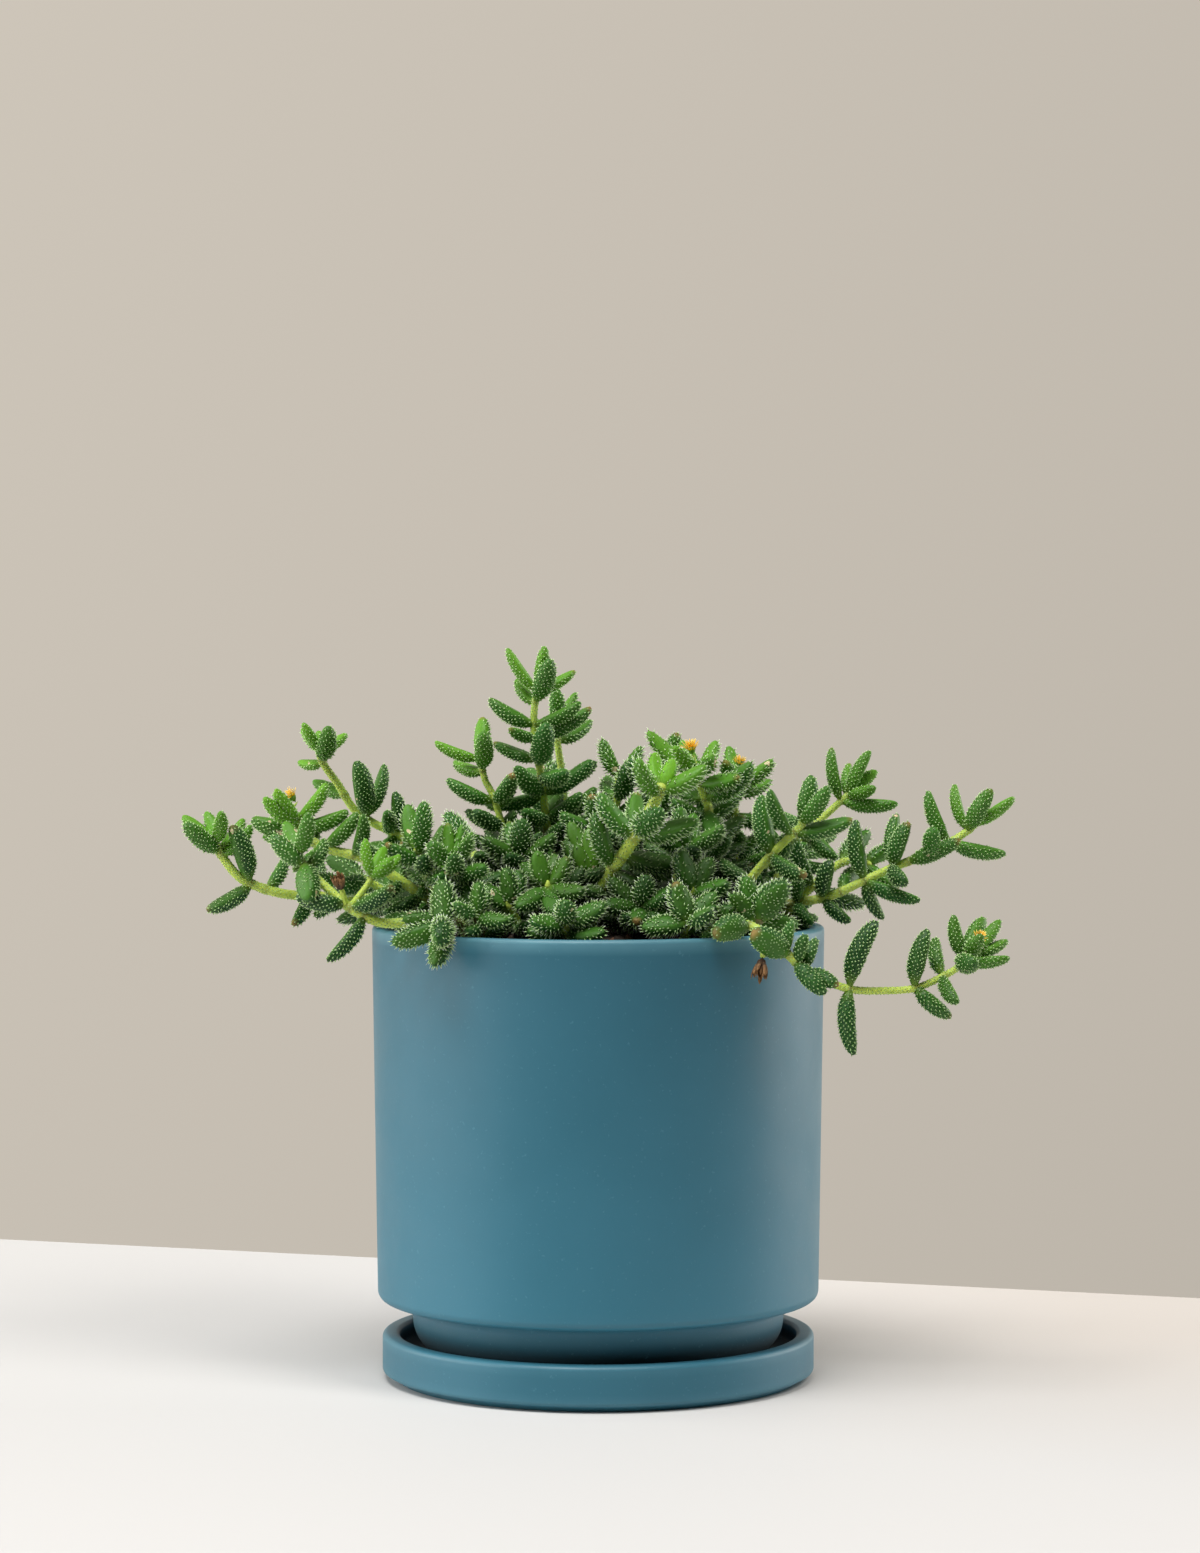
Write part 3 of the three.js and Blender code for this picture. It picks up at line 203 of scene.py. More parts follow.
     [[44.5, 13, 123], [48, 14, 131.5], [54.5, 16, 143], [60, 16, 147.5], [65, 16, 152], [68, 16, 154.5]],
     [[0.86, -2.5, 0, 14.5, 4], [0.86, 15, -4, -0.5, 4.4], [1, 6, 0, 12, 4.2], [1, 8, 4, 6.5, 3.6],
      [0.96, 1, 7, 8.5, 3.6], [0.58, -7, 10, 3.5, 4.4], [0.58, 7, -7, -8, 4.6], [0.96, 7, -6.5, 2.5, 3.6]]],
    ["shoot_right_long", 1.4, [41, 2],
     [[43, 1.4, 122], [47, 0, 124.7], [53, -2.5, 126.2], [60, -4, 127.5], [65, -5, 129.5], [71, -6, 132.5],
      [77.5, -7, 135.5], [86, -8, 139], [93, -8, 142.5], [97.5, -8, 145.5], [99.5, -8, 147.5]],
     [[0.36, 2, -4, 10, 5.2], [0.36, 7, -5, -6, 4], [0.54, -2.5, 0, 16, 5.2], [0.54, 14, -5.5, -5, 4.6],
      [0.54, 5, 3, -10.5, 4.2], [0.64, 4, -2, 12, 5.2], [0.64, 1.5, 6, 14, 4.4], [0.68, 13.5, -6, 6, 4.2],
      [0.64, 2.5, -12.5, -3, 4.8], [0.82, -5.5, 0, 13.5, 4.6], [0.82, 15, 0, -3, 4.8],
      [0.92, -3, 4, 12, 3.8], [0.92, 6, -5, 11, 4.8], [0.97, 11, 0, 7.5, 3.8], [0.76, -0.5, -10.5, 6, 5.4],
      [0.44, 6, 10, 6, 4.6]]],
    ["shoot_right_rim", 1.5, [36, -28],
     [[37.5, -30.5, 121.5], [40, -37, 123.8], [41.5, -43, 123.8]],
     [[0.98, 6.5, -5, 10, 6.8], [0.95, -8, -8, 0, 6], [0.95, -3.5, -1, 11.5, 4.8], [0.9, 2, 7, 9, 4.8],
      [0.8, 11, 3, -1, 4.8], [0.85, -7, -6, 7, 4]]],
    ["shoot_right_trail", 1.25, [27, -40],
     [[28.5, -41.5, 121.5], [34.5, -47.5, 123.8], [41, -51.5, 122], [46, -54, 118], [50, -54, 114],
      [53.5, -52, 111.5], [59, -49, 108.5], [65, -46, 106.5], [72.5, -43, 106], [81, -41, 106.5],
      [88.5, -39, 109.5], [93.5, -37, 112.5], [97, -36, 117]],
     [[0.6, 7, 0, 17, 5.6], [0.6, 1, -2, -17, 5], [0.77, 3.5, 0, 14.5, 5.2], [0.77, 9.5, 0, -8, 4.6],
      [0.93, 2, -12, 1, 5.4], [0.94, -3, -1, 11.5, 4.2], [0.95, 5, -6, 8, 3.8], [0.95, 6, 5, 11, 4.2],
      [0.95, 11, -1, 9, 3.6], [0.95, 11, 5, 4, 3.6], [0.93, 12, 0, 1, 3.6], [0.85, 3, -10, -6, 4.2],
      [0.85, -1, 9, 9, 4.4], [0.2, -9, -7, -1.5, 6.4], [0.35, -10.5, -7, 3, 6.8],
      [0.34, 1.5, -2, 8.5, 3.6], [0.4, 2, -3, 7.5, 3.8], [0.44, 3, 3, 7.5, 3.6],
      [0.38, 7.5, -4.5, -8, 4.4], [0.46, 7, -6, -3, 4]]],
]

# Flowers: [piece, shoot, share up the stem, reach of the stalk in x, y and z, length].
BLOOMS = [
    ["bloom_left", "shoot_left_flower", 1, -1, 0, 1.2, 4],
    ["bloom_top", "shoot_top_right", 1, -0.2, -0.4, 1.2, 4.5],
    ["bloom_back", "shoot_top_right_back", 1, 0.3, -0.3, 1.2, 3.6],
    ["bloom_trail", "shoot_right_trail", 1, 0.3, -0.8, 0.9, 3.4],
    ["spent_bloom_left", "shoot_left_low", 0.64, -1, -3.4, 4, 4.5],
    ["spent_bloom_right", "shoot_right_trail", 0.25, -1, -4, -5.5, 5.5],
]

# How far a flower's head is drawn from its solid's place, in mm, clear of the leaf in front of it.
HEAD_SHIFTS = {"bloom_left": (2.5, -1.0, 1.6)}

# The hidden shoots, placed by rule: their radius at the root; how far out the outer and the inner ones
# start, how far they reach and how high they rise, each as the least and how much more at most; how far
# the outer ones droop; and their pairs of leaves [share of the way up, angle from the stem, length, width].
BACK_COUNT, BACK_SEED, BACK_FROM, BACK_TO = 11, 20417, -0.15, math.pi + 0.15
BACK_THICK, LOW_THICK = 1.3, 1.2
OUTER_SHOOTS, INNER_SHOOTS = ((44, 5), (16, 16), (8, 14)), ((16, 16), (8, 8), (22, 14))
BACK_DROOP = 6
BACK_PAIRS = [[0.5, 1.15, 15.5, 5.2], [0.74, 0.9, 14, 5], [0.94, 0.5, 11.5, 4.4]]
LOW_TRIES, LOW_RADIUS, LOW_APART = 40, 47, 11.5
LOW_PAIRS = [[0.45, 1.2, 14, 4.9], [0.75, 0.95, 13, 4.9], [0.95, 0.5, 11, 4.7]]
GOLDEN = 0.618034
GOLDEN_ANGLE = 2.39996323

# Room that pieces keep from each other, and how a leaf is drawn as a row of balls. A stem tapers to a share
# of its radius, its solid bends at steps, it starts above the soil, and its balls stand so far apart.
CLEAR = 0.3
SPACE = 0.4
BALLS = 8
BALL_PLACES = [0, 0.3, 0.82, 1]
BALL_WIDTHS = [0, 0.94, 0.88, 0]
LEAF_SUNK, LEAF_BEHIND, LEAF_BOW = 1.5, 0.2, 0.13
STEM_TAPER, STEM_STEP, STEM_ABOVE, STEM_BALLS = 0.72, 8, 1.2, 1.5
SIZES_TRIED = (1, 0.8)
TIP_SHIFTS = [
    [0, 0, 0], [0, -4, 0], [0, 4, 0], [0, 0, 4], [4, 0, 0], [-4, 0, 0], [0, -8, 2], [0, 8, 2],
    [0, 0, -4], [6, -6, 0], [-6, -6, 0], [6, 6, 0], [-6, 6, 0], [0, -13, 0], [0, 13, 0], [0, 0, 9],
]

# The short leaves that fill the heart of the plant: how far along the stem the first stand and how far
# apart the others, how far from the pot's axis and how high they grow, the sizes tried, the room that
# they keep, and how many of a leaf's first balls may lie among its own shoot's. Some shoots stay bare
# above a share of their height.
FILL_FIRST, FILL_STEP, FILL_AWAY, FILL_TOP = 2.0, 4.0, 57, 152
FILL_SIZES = (1.0, 0.8, 0.62)
FILL_SPACE = 0.15
FILL_ROOT_BALLS = 3
BARE_ABOVE = {"shoot_centre_front": 0.35, "shoot_right_up": 0.3, "shoot_tall": 0.4, "shoot_right_trail": 0.5}

# How fresh and yellow-green the leaves at a shoot's tip are, and how long its bristles are in mm.
FRESH_TIPS = {
    "shoot_left_young": 1.0, "shoot_centre_front": 0.8, "shoot_left_flower": 0.75, "shoot_left_upper": 0.6,
    "shoot_right_trail": 0.75, "shoot_right_long": 0.45, "shoot_far_left": 0.5, "shoot_thin_left": 0.6,
    "shoot_top_right": 0.7, "shoot_tall": 0.45, "shoot_right_back": 0.4, "shoot_centre_middle": 0.75,
    "shoot_centre_low": 0.5, "shoot_top_right_back": 0.5, "shoot_front_left": 0.5,
}
FRESH_ELSEWHERE = 0.28
SHORT_BRISTLES = {
    "shoot_tall": 0.66, "shoot_tall_back": 0.7, "shoot_thin_left": 0.6, "shoot_left_upper": 0.62,
    "shoot_far_left": 0.66, "shoot_left_young": 0.5, "shoot_right_up": 0.68, "shoot_right_back": 0.55,
    "shoot_right_long": 0.58, "shoot_right_trail": 0.6, "shoot_left_flower": 0.72, "shoot_left_low": 0.76,
}
BRISTLES_ELSEWHERE = 1.3
WOODY_SHOOTS = ("shoot_left_rim", "shoot_right_rim", "shoot_rim_young")
HAIRY_SHOOTS, HAIRY_BARE = (*WOODY_SHOOTS, "shoot_right_trail"), 0.3
GREEN_SHOOTS = ("shoot_centre_front", "shoot_right_trail", "shoot_far_left")
STOUT_STEMS = {"shoot_centre_front": 1.2}

# Leaves turn old and hairy between two heights, and are dimmed by painted shade between two heights and two
# distances from the pot's axis. An old leaf loses shares of its freshness, its bare upper face and its tone,
# and the lost freshness and tone are partly painted shade low in the plant. Leaves are young between two
# widths, and short filling leaves between narrower ones. The seeds start the draws for the looks of leaves
# and for the bristles of each piece.
OLD_HEIGHTS, HEART_HEIGHTS, HEART_REACHES = (146, 124), (152, 130), (50, 32)
OLD_FRESH, OLD_BARE, OLD_TONE = 0.6, 0.4, 0.6
YOUNG_WIDTHS, YOUNG_FILL_WIDTHS = (5.4, 3.4), (4.2, 2.6)
SCARRED_FROM = 0.82
LOOKS_SEED, PIECE_SEED = 31, 100

# A bristle: how deep its foot is sunk, its thickness less so much for each mm of its length, the least
# and the most of that, and how white its point is plus so much for each mm. Stems' bristles are a share
# as long as their leaves'.
SPIKE_SUNK, SPIKE_THICK, SPIKE_THINNING, SPIKE_LIMITS = 0.12, 0.38, 0.07, (0.28, 0.34)
SPIKE_WHITE, SPIKE_WHITENING = 0.6, 0.27
STEM_BRISTLES = 0.55

# Whorls of a flower: [count, spread, rise, width in mm, curl], and the radius and height of its cup.
FRESH_WHORLS = [[15, 0.62, 0.62, 0.5, 0.22], [13, 0.36, 0.85, 0.45, 0.12]]
STAMEN_WHORLS = [[12, 0.12, 0.6, 0.35, 0.06]]
WITHERED_WHORLS = [[9, 0.34, 0.95, 1.3, 0.42], [7, 0.1, 0.9, 1.1, 0.32]]
FRESH_CUP, WITHERED_CUP = (1.2, 2.4), (1.25, 2.2)


def unit(vectors: Array) -> Array:
    """The vectors, each divided by its own length."""
    return vectors / np.linalg.norm(vectors, axis=-1, keepdims=True)


def smooth_step(low: float, high: float, values: Array | float) -> Array:
    """0 below low and 1 above high, with 3x^2 - 2x^3 between them."""
    share = np.clip((np.asarray(values, float) - low) / (high - low), 0, 1)
    return share * share * (3 - 2 * share)


def square_to(axis: Array, hint: Array = BACKWARD) -> Array:
    """A direction square to an axis: the hint crossed with it, or +Y or +X where that is too short.

    Args:
        axis: a unit direction.
        hint: what to cross with it, if it lies well across.

    Returns:
        the direction.
    """
    for other in (hint, BACKWARD, RIGHTWARD):
        across = np.cross(other, axis)
        if np.linalg.norm(across) >= 0.25:
            break
    return unit(across)


def turned_about(vector: Array, axis: Array, angle: float) -> Array:
    """The vector turned about a unit axis: v cos a + (k x v) sin a + k (k.v)(1 - cos a)."""
    return (
        vector * math.cos(angle)
        + np.cross(axis, vector) * math.sin(angle)
        + axis * (axis @ vector) * (1 - math.cos(angle))
    )


def ways_round(across: Array, beside: Array, angles: Array) -> Array:
    """Unit ways out from an axis, across cos(angle) + beside sin(angle), for each angle."""
    return across * np.cos(angles)[:, None] + beside * np.sin(angles)[:, None]


def draws(seed: int) -> Callable[[], float]:
    """A repeatable series of numbers between 0 and 1: each state is 16807 times the last, modulo 2^31 - 1.

    Args:
        seed: the first state.

    Returns:
        a function that gives the next number.
    """
    state = seed

    def draw() -> float:
        """The next number."""
        nonlocal state
        state = state * 16807 % 2147483647
        return state / 2147483647

    return draw


@dataclass
class Surface:
    """A mesh as whole arrays.

    points are in mm, quads and triangles hold point numbers, finishes one material number a face,
    and values one number a point, or one for all, under each attribute's name.
    """

    points: Array
    quads: NDArray[np.int64] = field(default_factory=lambda: np.zeros((0, 4), int))
    triangles: NDArray[np.int64] = field(default_factory=lambda: np.zeros((0, 3), int))
    finish: int = 0
    values: dict[str, Array | float] = field(default_factory=dict)


def joined(surfaces: Sequence[Surface]) -> tuple[Surface, NDArray[np.int64]]:
    """Several surfaces as one.

    Args:
        surfaces: what to put together.

    Returns:
        the whole, and the material number of each face, quads first.
    """
    firsts = np.cumsum([0] + [len(each.points) for each in surfaces])
    names = sorted({name for each in surfaces for name in each.values})
    whole = Surface(
        np.concatenate([each.points for each in surfaces]),
        np.concatenate([each.quads + first for each, first in zip(surfaces, firsts)]),
        np.concatenate([each.triangles + first for each, first in zip(surfaces, firsts)]),
    )
    for name in names:
        parts = [np.broadcast_to(each.values.get(name, 0.0), len(each.points)) for each in surfaces]
        whole.values[name] = np.concatenate(parts)
    finishes = np.concatenate(
        [np.full(len(each.quads), each.finish) for each in surfaces]
        + [np.full(len(each.triangles), each.finish) for each in surfaces]
    )
    return whole, finishes


def tube(rings: Array, start: Array | None = None, end: Array | None = None, finish: int = 0) -> Surface:
    """A closed skin over a row of rings.

    Point j of ring i joins point j + 1 and the same two of ring i + 1. The ends close on a pole each,
    or, where they have none, the last ring joins the first.

    Args:
        rings: points as rings x sides x 3, running anticlockwise about the way the rings go.
        start: the first pole.
        end: the last pole.
        finish: the material number.

    Returns:
        the skin, facing outward.
    """
    count, sides = rings.shape[:2]
    looped = start is None
    row = np.arange(count if looped else count - 1)[:, None] * sides
    side = np.arange(sides)[None, :]
    after = (side + 1) % sides
    above = (row + sides) % (count * sides)
    quads = np.stack([row + side, row + after, above + after, above + side], axis=-1).reshape(-1, 4)
    points = rings.reshape(-1, 3)
    if looped:
        return Surface(points, quads, finish=finish)
    first, last = count * sides, count * sides + 1
    side, after = side[0], after[0]
    top = (count - 1) * sides
    triangles = np.concatenate([
        np.stack([after, side, np.full(sides, first)], axis=-1),
        np.stack([top + side, top + after, np.full(sides, last)], axis=-1),
    ])
    return Surface(np.concatenate([points, [start, end]]), quads, triangles, finish)


def make_piece(
    name: str, surfaces: Sequence[Surface], finishes: Sequence[Finish], slot: Slot, *nodes: str
) -> Piece:
    """Makes one piece of the part, which rides on the root body and stands for its CAD nodes.

    Args:
        name: the piece's name.
        surfaces: its skins, in mm.
        finishes: its materials, in the order of the surfaces' material numbers.
        slot: the record's slot for it; not used.
        nodes: the CAD nodes that it replaces.

    Returns:
        the piece.
    """
    whole, numbers = joined(surfaces)
    mesh = bpy.data.meshes.new(name)
    mesh.vertices.add(len(whole.points))
    mesh.vertices.foreach_set("co", (whole.points * MM).astype(np.float32).ravel())
    corners = np.concatenate([whole.quads.ravel(), whole.triangles.ravel()])
    starts = np.concatenate([
        np.arange(len(whole.quads)) * 4,
        len(whole.quads) * 4 + np.arange(len(whole.triangles)) * 3,
    ])
    mesh.loops.add(len(corners))
    mesh.loops.foreach_set("vertex_index", corners.astype(np.int32))
    mesh.polygons.add(len(starts))
    mesh.polygons.foreach_set("loop_start", starts.astype(np.int32))
    mesh.polygons.foreach_set("material_index", numbers.astype(np.int32))
    mesh.polygons.foreach_set("use_smooth", np.ones(len(starts), bool))
    for key, numbers_of in whole.values.items():
        mesh.attributes.new(key, "FLOAT", "POINT").data.foreach_set("value", numbers_of.astype(np.float32))
    for finish in finishes:
        mesh.materials.append(finish)
    mesh.update(calc_edges=True)
    piece = bpy.data.objects.new(name, mesh)
    bpy.context.scene.collection.objects.link(piece)
    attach(piece, "root")
    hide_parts(*nodes)
    triangles = len(whole.quads) * 2 + len(whole.triangles)
    log.info("%s: %d triangles, stands for %s", name, triangles, ", ".join(nodes))
    return piece


class Tree:
    """The node tree of a material or a world, with short ways to add nodes to it."""

    def __init__(self, name: str, world: bool = False) -> None:
        """Starts an empty tree with its output node.

        Args:
            name: the name of the material or world.
            world: True for a world.
        """
        self.owner = (bpy.data.worlds if world else bpy.data.materials).new(name)
        self.owner.use_nodes = True
        self.nodes = self.owner.node_tree.nodes
        self.nodes.clear()
        self.output = self.nodes.new("ShaderNodeOutput" + ("World" if world else "Material"))

    def add(self, kind: str, inputs: dict[str | int, object], **settings: object) -> bpy.types.Node:
        """Adds a node.

        Args:
            kind: the node's type, without its ShaderNode prefix.
            inputs: a value or another node's output for each input, by name or number.
            settings: the node's own properties.

        Returns:
            the node.
        """
        node = self.nodes.new("ShaderNode" + kind)
        for key, value in settings.items():
            setattr(node, key, value)
        for key, value in inputs.items():
            if isinstance(value, Socket):
                self.owner.node_tree.links.new(value, node.inputs[key])
            elif isinstance(value, tuple) and node.inputs[key].type == "RGBA":
                node.inputs[key].default_value = (*value, 1.0)
            else:
                node.inputs[key].default_value = value
        return node

    def value(self, name: str) -> Socket:
        """The number that the mesh carries under this name."""
        return self.add("Attribute", {}, attribute_name=name).outputs["Fac"]

    def place(self) -> Socket:
        """Object coordinates, in metres."""
        return self.add("TexCoord", {}).outputs["Object"]

    def noise(self, scale: float, detail: float = 3.0, roughness: float = 0.55) -> Socket:
        """Noise of so many waves a metre, from 0 to 1."""
        inputs = {"Vector": self.place(), "Scale": scale, "Detail": detail, "Roughness": roughness}
        return self.add("TexNoise", inputs).outputs["Fac"]

    def cells(self, scale: float, feature: str = "SMOOTH_F1") -> Socket:
        """Distance to the middle of the nearest cell, of so many cells a metre."""
        inputs = {"Vector": self.place(), "Scale": scale}
        return self.add("TexVoronoi", inputs, feature=feature).outputs["Distance"]

    def span(self, value: Socket, low: float, high: float, first: float = 0, last: float = 1) -> Socket:
        """The value, with low to high stretched to first to last and held there beyond."""
        inputs = {"Value": value, "From Min": low, "From Max": high, "To Min": first, "To Max": last}
        return self.add("MapRange", inputs).outputs["Result"]

    def maths(self, operation: str, a: object, b: object = 0.0) -> Socket:
        """One sum of two numbers."""
        return self.add("Math", {0: a, 1: b}, operation=operation).outputs[0]

    def mix(self, share: object, a: object, b: object, blend: str = "MIX") -> Socket:
        """Colour a turning into colour b."""
        inputs = {0: share, 6: a, 7: b}
        return self.add("Mix", inputs, data_type="RGBA", blend_type=blend).outputs[2]

    def dimmed(self, colour: object, share: object) -> Socket:
        """The colour times a number."""
        grey = self.add("CombineColor", {i: share for i in range(3)}).outputs[0]
        return self.mix(1.0, colour, grey, "MULTIPLY")

    def bump(self, height: object, depth: float, strength: float = 1.0, over: object = None) -> Socket:
        """A normal for a relief of that depth in mm.

        Args:
            height: the relief, from 0 to 1.
            depth: its depth in mm.
            strength: how much of it shows.
            over: a normal that it is laid over.

        Returns:
            the normal.
        """
        inputs = {"Height": height, "Distance": depth * MM, "Strength": strength}
        if over is not None:
            inputs["Normal"] = over
        return self.add("Bump", inputs).outputs["Normal"]

    def finished(
        self, inputs: dict[str | int, object], kind: str = "BsdfPrincipled"
    ) -> Finish | bpy.types.World:
        """Puts a shader with these inputs on the output.

        Args:
            inputs: values or sockets for the shader's inputs.
            kind: the shader's type, without its ShaderNode prefix.

        Returns:
            the material or world.
        """
        shader = self.add(kind, inputs)
        self.owner.node_tree.links.new(shader.outputs[0], self.output.inputs["Surface"])
        return self.owner


@dataclass(frozen=True)
class Glaze:
    """A satin glaze, paler over its edges from thin glaze and a painted highlight, with faint clouding and
    dimples, brighter low down as painted bounce light and darker in recesses as painted shade.
    """

    body: Colour = (0.015, 0.127, 0.188)
    cloud: Colour = (0.021, 0.143, 0.210)
    # paler colour of specks and of thin glaze over edges, where it also paints a highlight
    thin: Colour = (0.13, 0.33, 0.40)
    # painted bounce light: the colour's factor from the top to the bottom, brighter low down
    shade: Pair = (0.86, 1.14)
    # painted shade: how dark the glaze turns in the foot's recess and the saucer's well
    deep: float = 0.22
    rough: float = 0.5

    def material(self) -> Finish:
        """Makes the glaze.

        Returns:
            the glaze.
        """
        tree = Tree("teal_glaze")
        clouding = tree.span(tree.noise(16, 4), 0.35, 0.65)
        colour = tree.mix(clouding, self.body, self.cloud)
        # painted bounce light: the glaze grows brighter towards the bottom
        shade = tree.span(tree.value("low"), 0, 1, *self.shade)
        # painted shade: darker in the foot's recess and the saucer's well
        shade = tree.maths("MULTIPLY", shade, tree.span(tree.value("deep"), 0, 1, 1, self.deep))
        colour = tree.dimmed(colour, shade)
        speck = tree.span(tree.noise(900, 2), 0.66, 0.74, 0, 0.18)
        colour = tree.mix(speck, colour, self.thin)
        # edges paler: partly thin glaze, partly a painted highlight along the rims
        edge = tree.maths("MULTIPLY", tree.value("edge"), tree.span(tree.noise(70, 3), 0.2, 0.8, 0.35, 0.8))
        colour = tree.mix(edge, colour, self.thin)
        dimples = tree.bump(tree.noise(420, 3), 0.05, 0.35)
        waves = tree.bump(tree.noise(28, 2), 0.6, 0.25, dimples)
        rough = tree.span(tree.noise(60, 3), 0.3, 0.7, self.rough - 0.05, self.rough + 0.06)
        rough = tree.maths("ADD", rough, tree.span(tree.value("deep"), 0, 0.6, 0, 0.4))
        return tree.finished({
            "Base Color": colour, "Roughness": rough, "Normal": waves, "IOR": 1.5,
            "Coat Weight": 0.12, "Coat Roughness": 0.4,
        })


@dataclass(frozen=True)
class PottingSoil:
    """Damp dark soil with paler and redder crumbs."""

    dark: Colour = (0.016, 0.010, 0.007)
    brown: Colour = (0.065, 0.036, 0.021)
    bark: Colour = (0.19, 0.088, 0.042)

    def material(self) -> Finish:
        """Makes the soil.

        Returns:
            the soil.
        """
        tree = Tree("potting_soil")
        colour = tree.mix(tree.span(tree.noise(900, 6, 0.7), 0.35, 0.7), self.dark, self.brown)
        colour = tree.mix(tree.maths("MULTIPLY", tree.value("chip"), 0.8), colour, self.bark)
        grain = tree.bump(tree.noise(2200, 5, 0.75), 0.35, 0.9)
        lumps = tree.bump(tree.cells(520), 0.5, 0.6, grain)
        return tree.finished({"Base Color": colour, "Roughness": 0.93, "Normal": lumps})


@dataclass(frozen=True)
class LeafSkin:
    """Succulent leaf skin: deep green, fresher near the tips, pebbled, with a smooth upper face lightened by
    painted light from above, and dimmed by painted shade in the plant's heart.
    """

    old: Colour = (0.006, 0.045, 0.010)
    grown: Colour = (0.018, 0.118, 0.016)
    fresh: Colour = (0.180, 0.460, 0.020)
    foot: Colour = (0.16, 0.27, 0.035)
    pearl: Colour = (0.11, 0.29, 0.06)
    rust: Colour = (0.36, 0.19, 0.06)
    worn: Colour = (0.66, 0.56, 0.34)
    # painted shade: how dark the leaves in the plant's heart turn
    inside: float = 0.4

    def material(self) -> Finish:
        """Makes the leaf skin.

        Returns:
            the leaf skin.
        """
        tree = Tree("leaf_skin")
        upper, fresh = tree.value("upper"), tree.value("fresh")
        mottle = tree.noise(260, 4, 0.6)
        tone = tree.maths("ADD", tree.value("tone"), tree.span(mottle, 0.3, 0.7, -0.3, 0.3))
        colour = tree.mix(tree.span(tone, -0.9, 1.1), self.old, self.grown)
        fresh = tree.maths("MULTIPLY", fresh, tree.span(mottle, 0.2, 0.8, 0.8, 1.0))
        colour = tree.mix(fresh, colour, self.fresh)
        # painted light: upper faces a little lighter, as if lit from above
        colour = tree.mix(tree.span(upper, 0.2, 0.9, 0, 0.16), colour, self.fresh)
        colour = tree.mix(tree.span(tree.value("along"), 0.24, 0.06, 0, 0.75), colour, self.foot)
        pebbles = tree.cells(1250)
        bead = tree.span(pebbles, 0.34, 0.10, 0, 0.4)
        bead = tree.maths("MULTIPLY", bead, tree.span(upper, 0.1, 0.8, 1, 0.25))
        colour = tree.mix(bead, colour, self.pearl)
        colour = tree.mix(tree.value("scar"), colour, self.rust)
        colour = tree.mix(tree.span(tree.noise(210, 1.5), 0.715, 0.73), colour, self.worn)
        # painted shade: leaves in the plant's heart dimmed
        colour = tree.dimmed(colour, tree.span(tree.value("inner"), 0, 1, 1, self.inside))
        relief = tree.maths("MULTIPLY", pebbles, tree.span(upper, 0.1, 0.8, -1, -0.3))
        normal = tree.bump(relief, 0.35, 0.75, tree.bump(tree.noise(1500, 3), 0.08, 0.5))
        rough = tree.span(mottle, 0.3, 0.7, 0.42, 0.56)
        return tree.finished({
            "Base Color": colour, "Roughness": rough, "Normal": normal, "IOR": 1.42,
            "Specular IOR Level": 0.35, "Subsurface Weight": 0.12,
            "Subsurface Radius": (0.35, 0.9, 0.18), "Subsurface Scale": 0.0016,
        })


@dataclass(frozen=True)
class StemSkin:
    """Stem skin: lime green where it is young, corky brown where it is old, and brown at each joint."""

    young: Colour = (0.62, 0.75, 0.12)
    green: Colour = (0.47, 0.66, 0.08)
    cork: Colour = (0.23, 0.155, 0.085)
    dark: Colour = (0.075, 0.048, 0.028)

    def material(self) -> Finish:
        """Makes the stem skin.

        Returns:
            the stem skin.
        """
        tree = Tree("stem_skin")
        flecks = tree.noise(750, 4, 0.65)
        colour = tree.mix(tree.span(flecks, 0.3, 0.7), self.young, self.green)
        cork = tree.mix(tree.span(flecks, 0.35, 0.65), self.dark, self.cork)
        colour = tree.mix(tree.value("bark"), colour, cork)
        colour = tree.mix(tree.maths("MULTIPLY", tree.value("joint"), 0.7), colour, self.dark)
        normal = tree.bump(tree.cells(1500), 0.25, 0.7, tree.bump(flecks, 0.2, 0.5))
        return tree.finished({
            "Base Color": colour, "Roughness": 0.55, "Normal": normal,
            "Subsurface Weight": 0.1, "Subsurface Radius": (0.5, 0.8, 0.15), "Subsurface Scale": 0.0012,
        })


@dataclass(frozen=True)
class Bristle:
    """A glassy bristle, greenish at its foot and white at its point, dimmed by painted shade in the plant's
    heart.
    """

    foot: Colour = (0.045, 0.150, 0.030)
    fresh: Colour = (0.19, 0.43, 0.03)
    middle: Colour = (0.50, 0.73, 0.29)
    point: Colour = (0.92, 0.96, 0.86)
    # painted shade: how dark the bristles in the plant's heart turn
    inside: float = 0.4

    def material(self) -> Finish:
        """Makes the bristle.

        Returns:
            the bristle.
        """
        tree = Tree("white_bristle")
        out = tree.value("out")
        uneven = tree.span(tree.noise(900, 2), 0.3, 0.7, 0.75, 1.0)
        green = tree.mix(tree.value("fresh"), self.foot, self.fresh)
        pale = tree.mix(tree.maths("MULTIPLY", tree.span(out, 0.0, 0.35), uneven), green, self.middle)
        colour = tree.mix(tree.span(out, 0.5, 0.85), pale, self.point)
        # painted shade: bristles in the plant's heart dimmed
        colour = tree.dimmed(colour, tree.span(tree.value("inner"), 0, 1, 1, self.inside))
        return tree.finished({"Base Color": colour, "Roughness": 0.45, "IOR": 1.45})


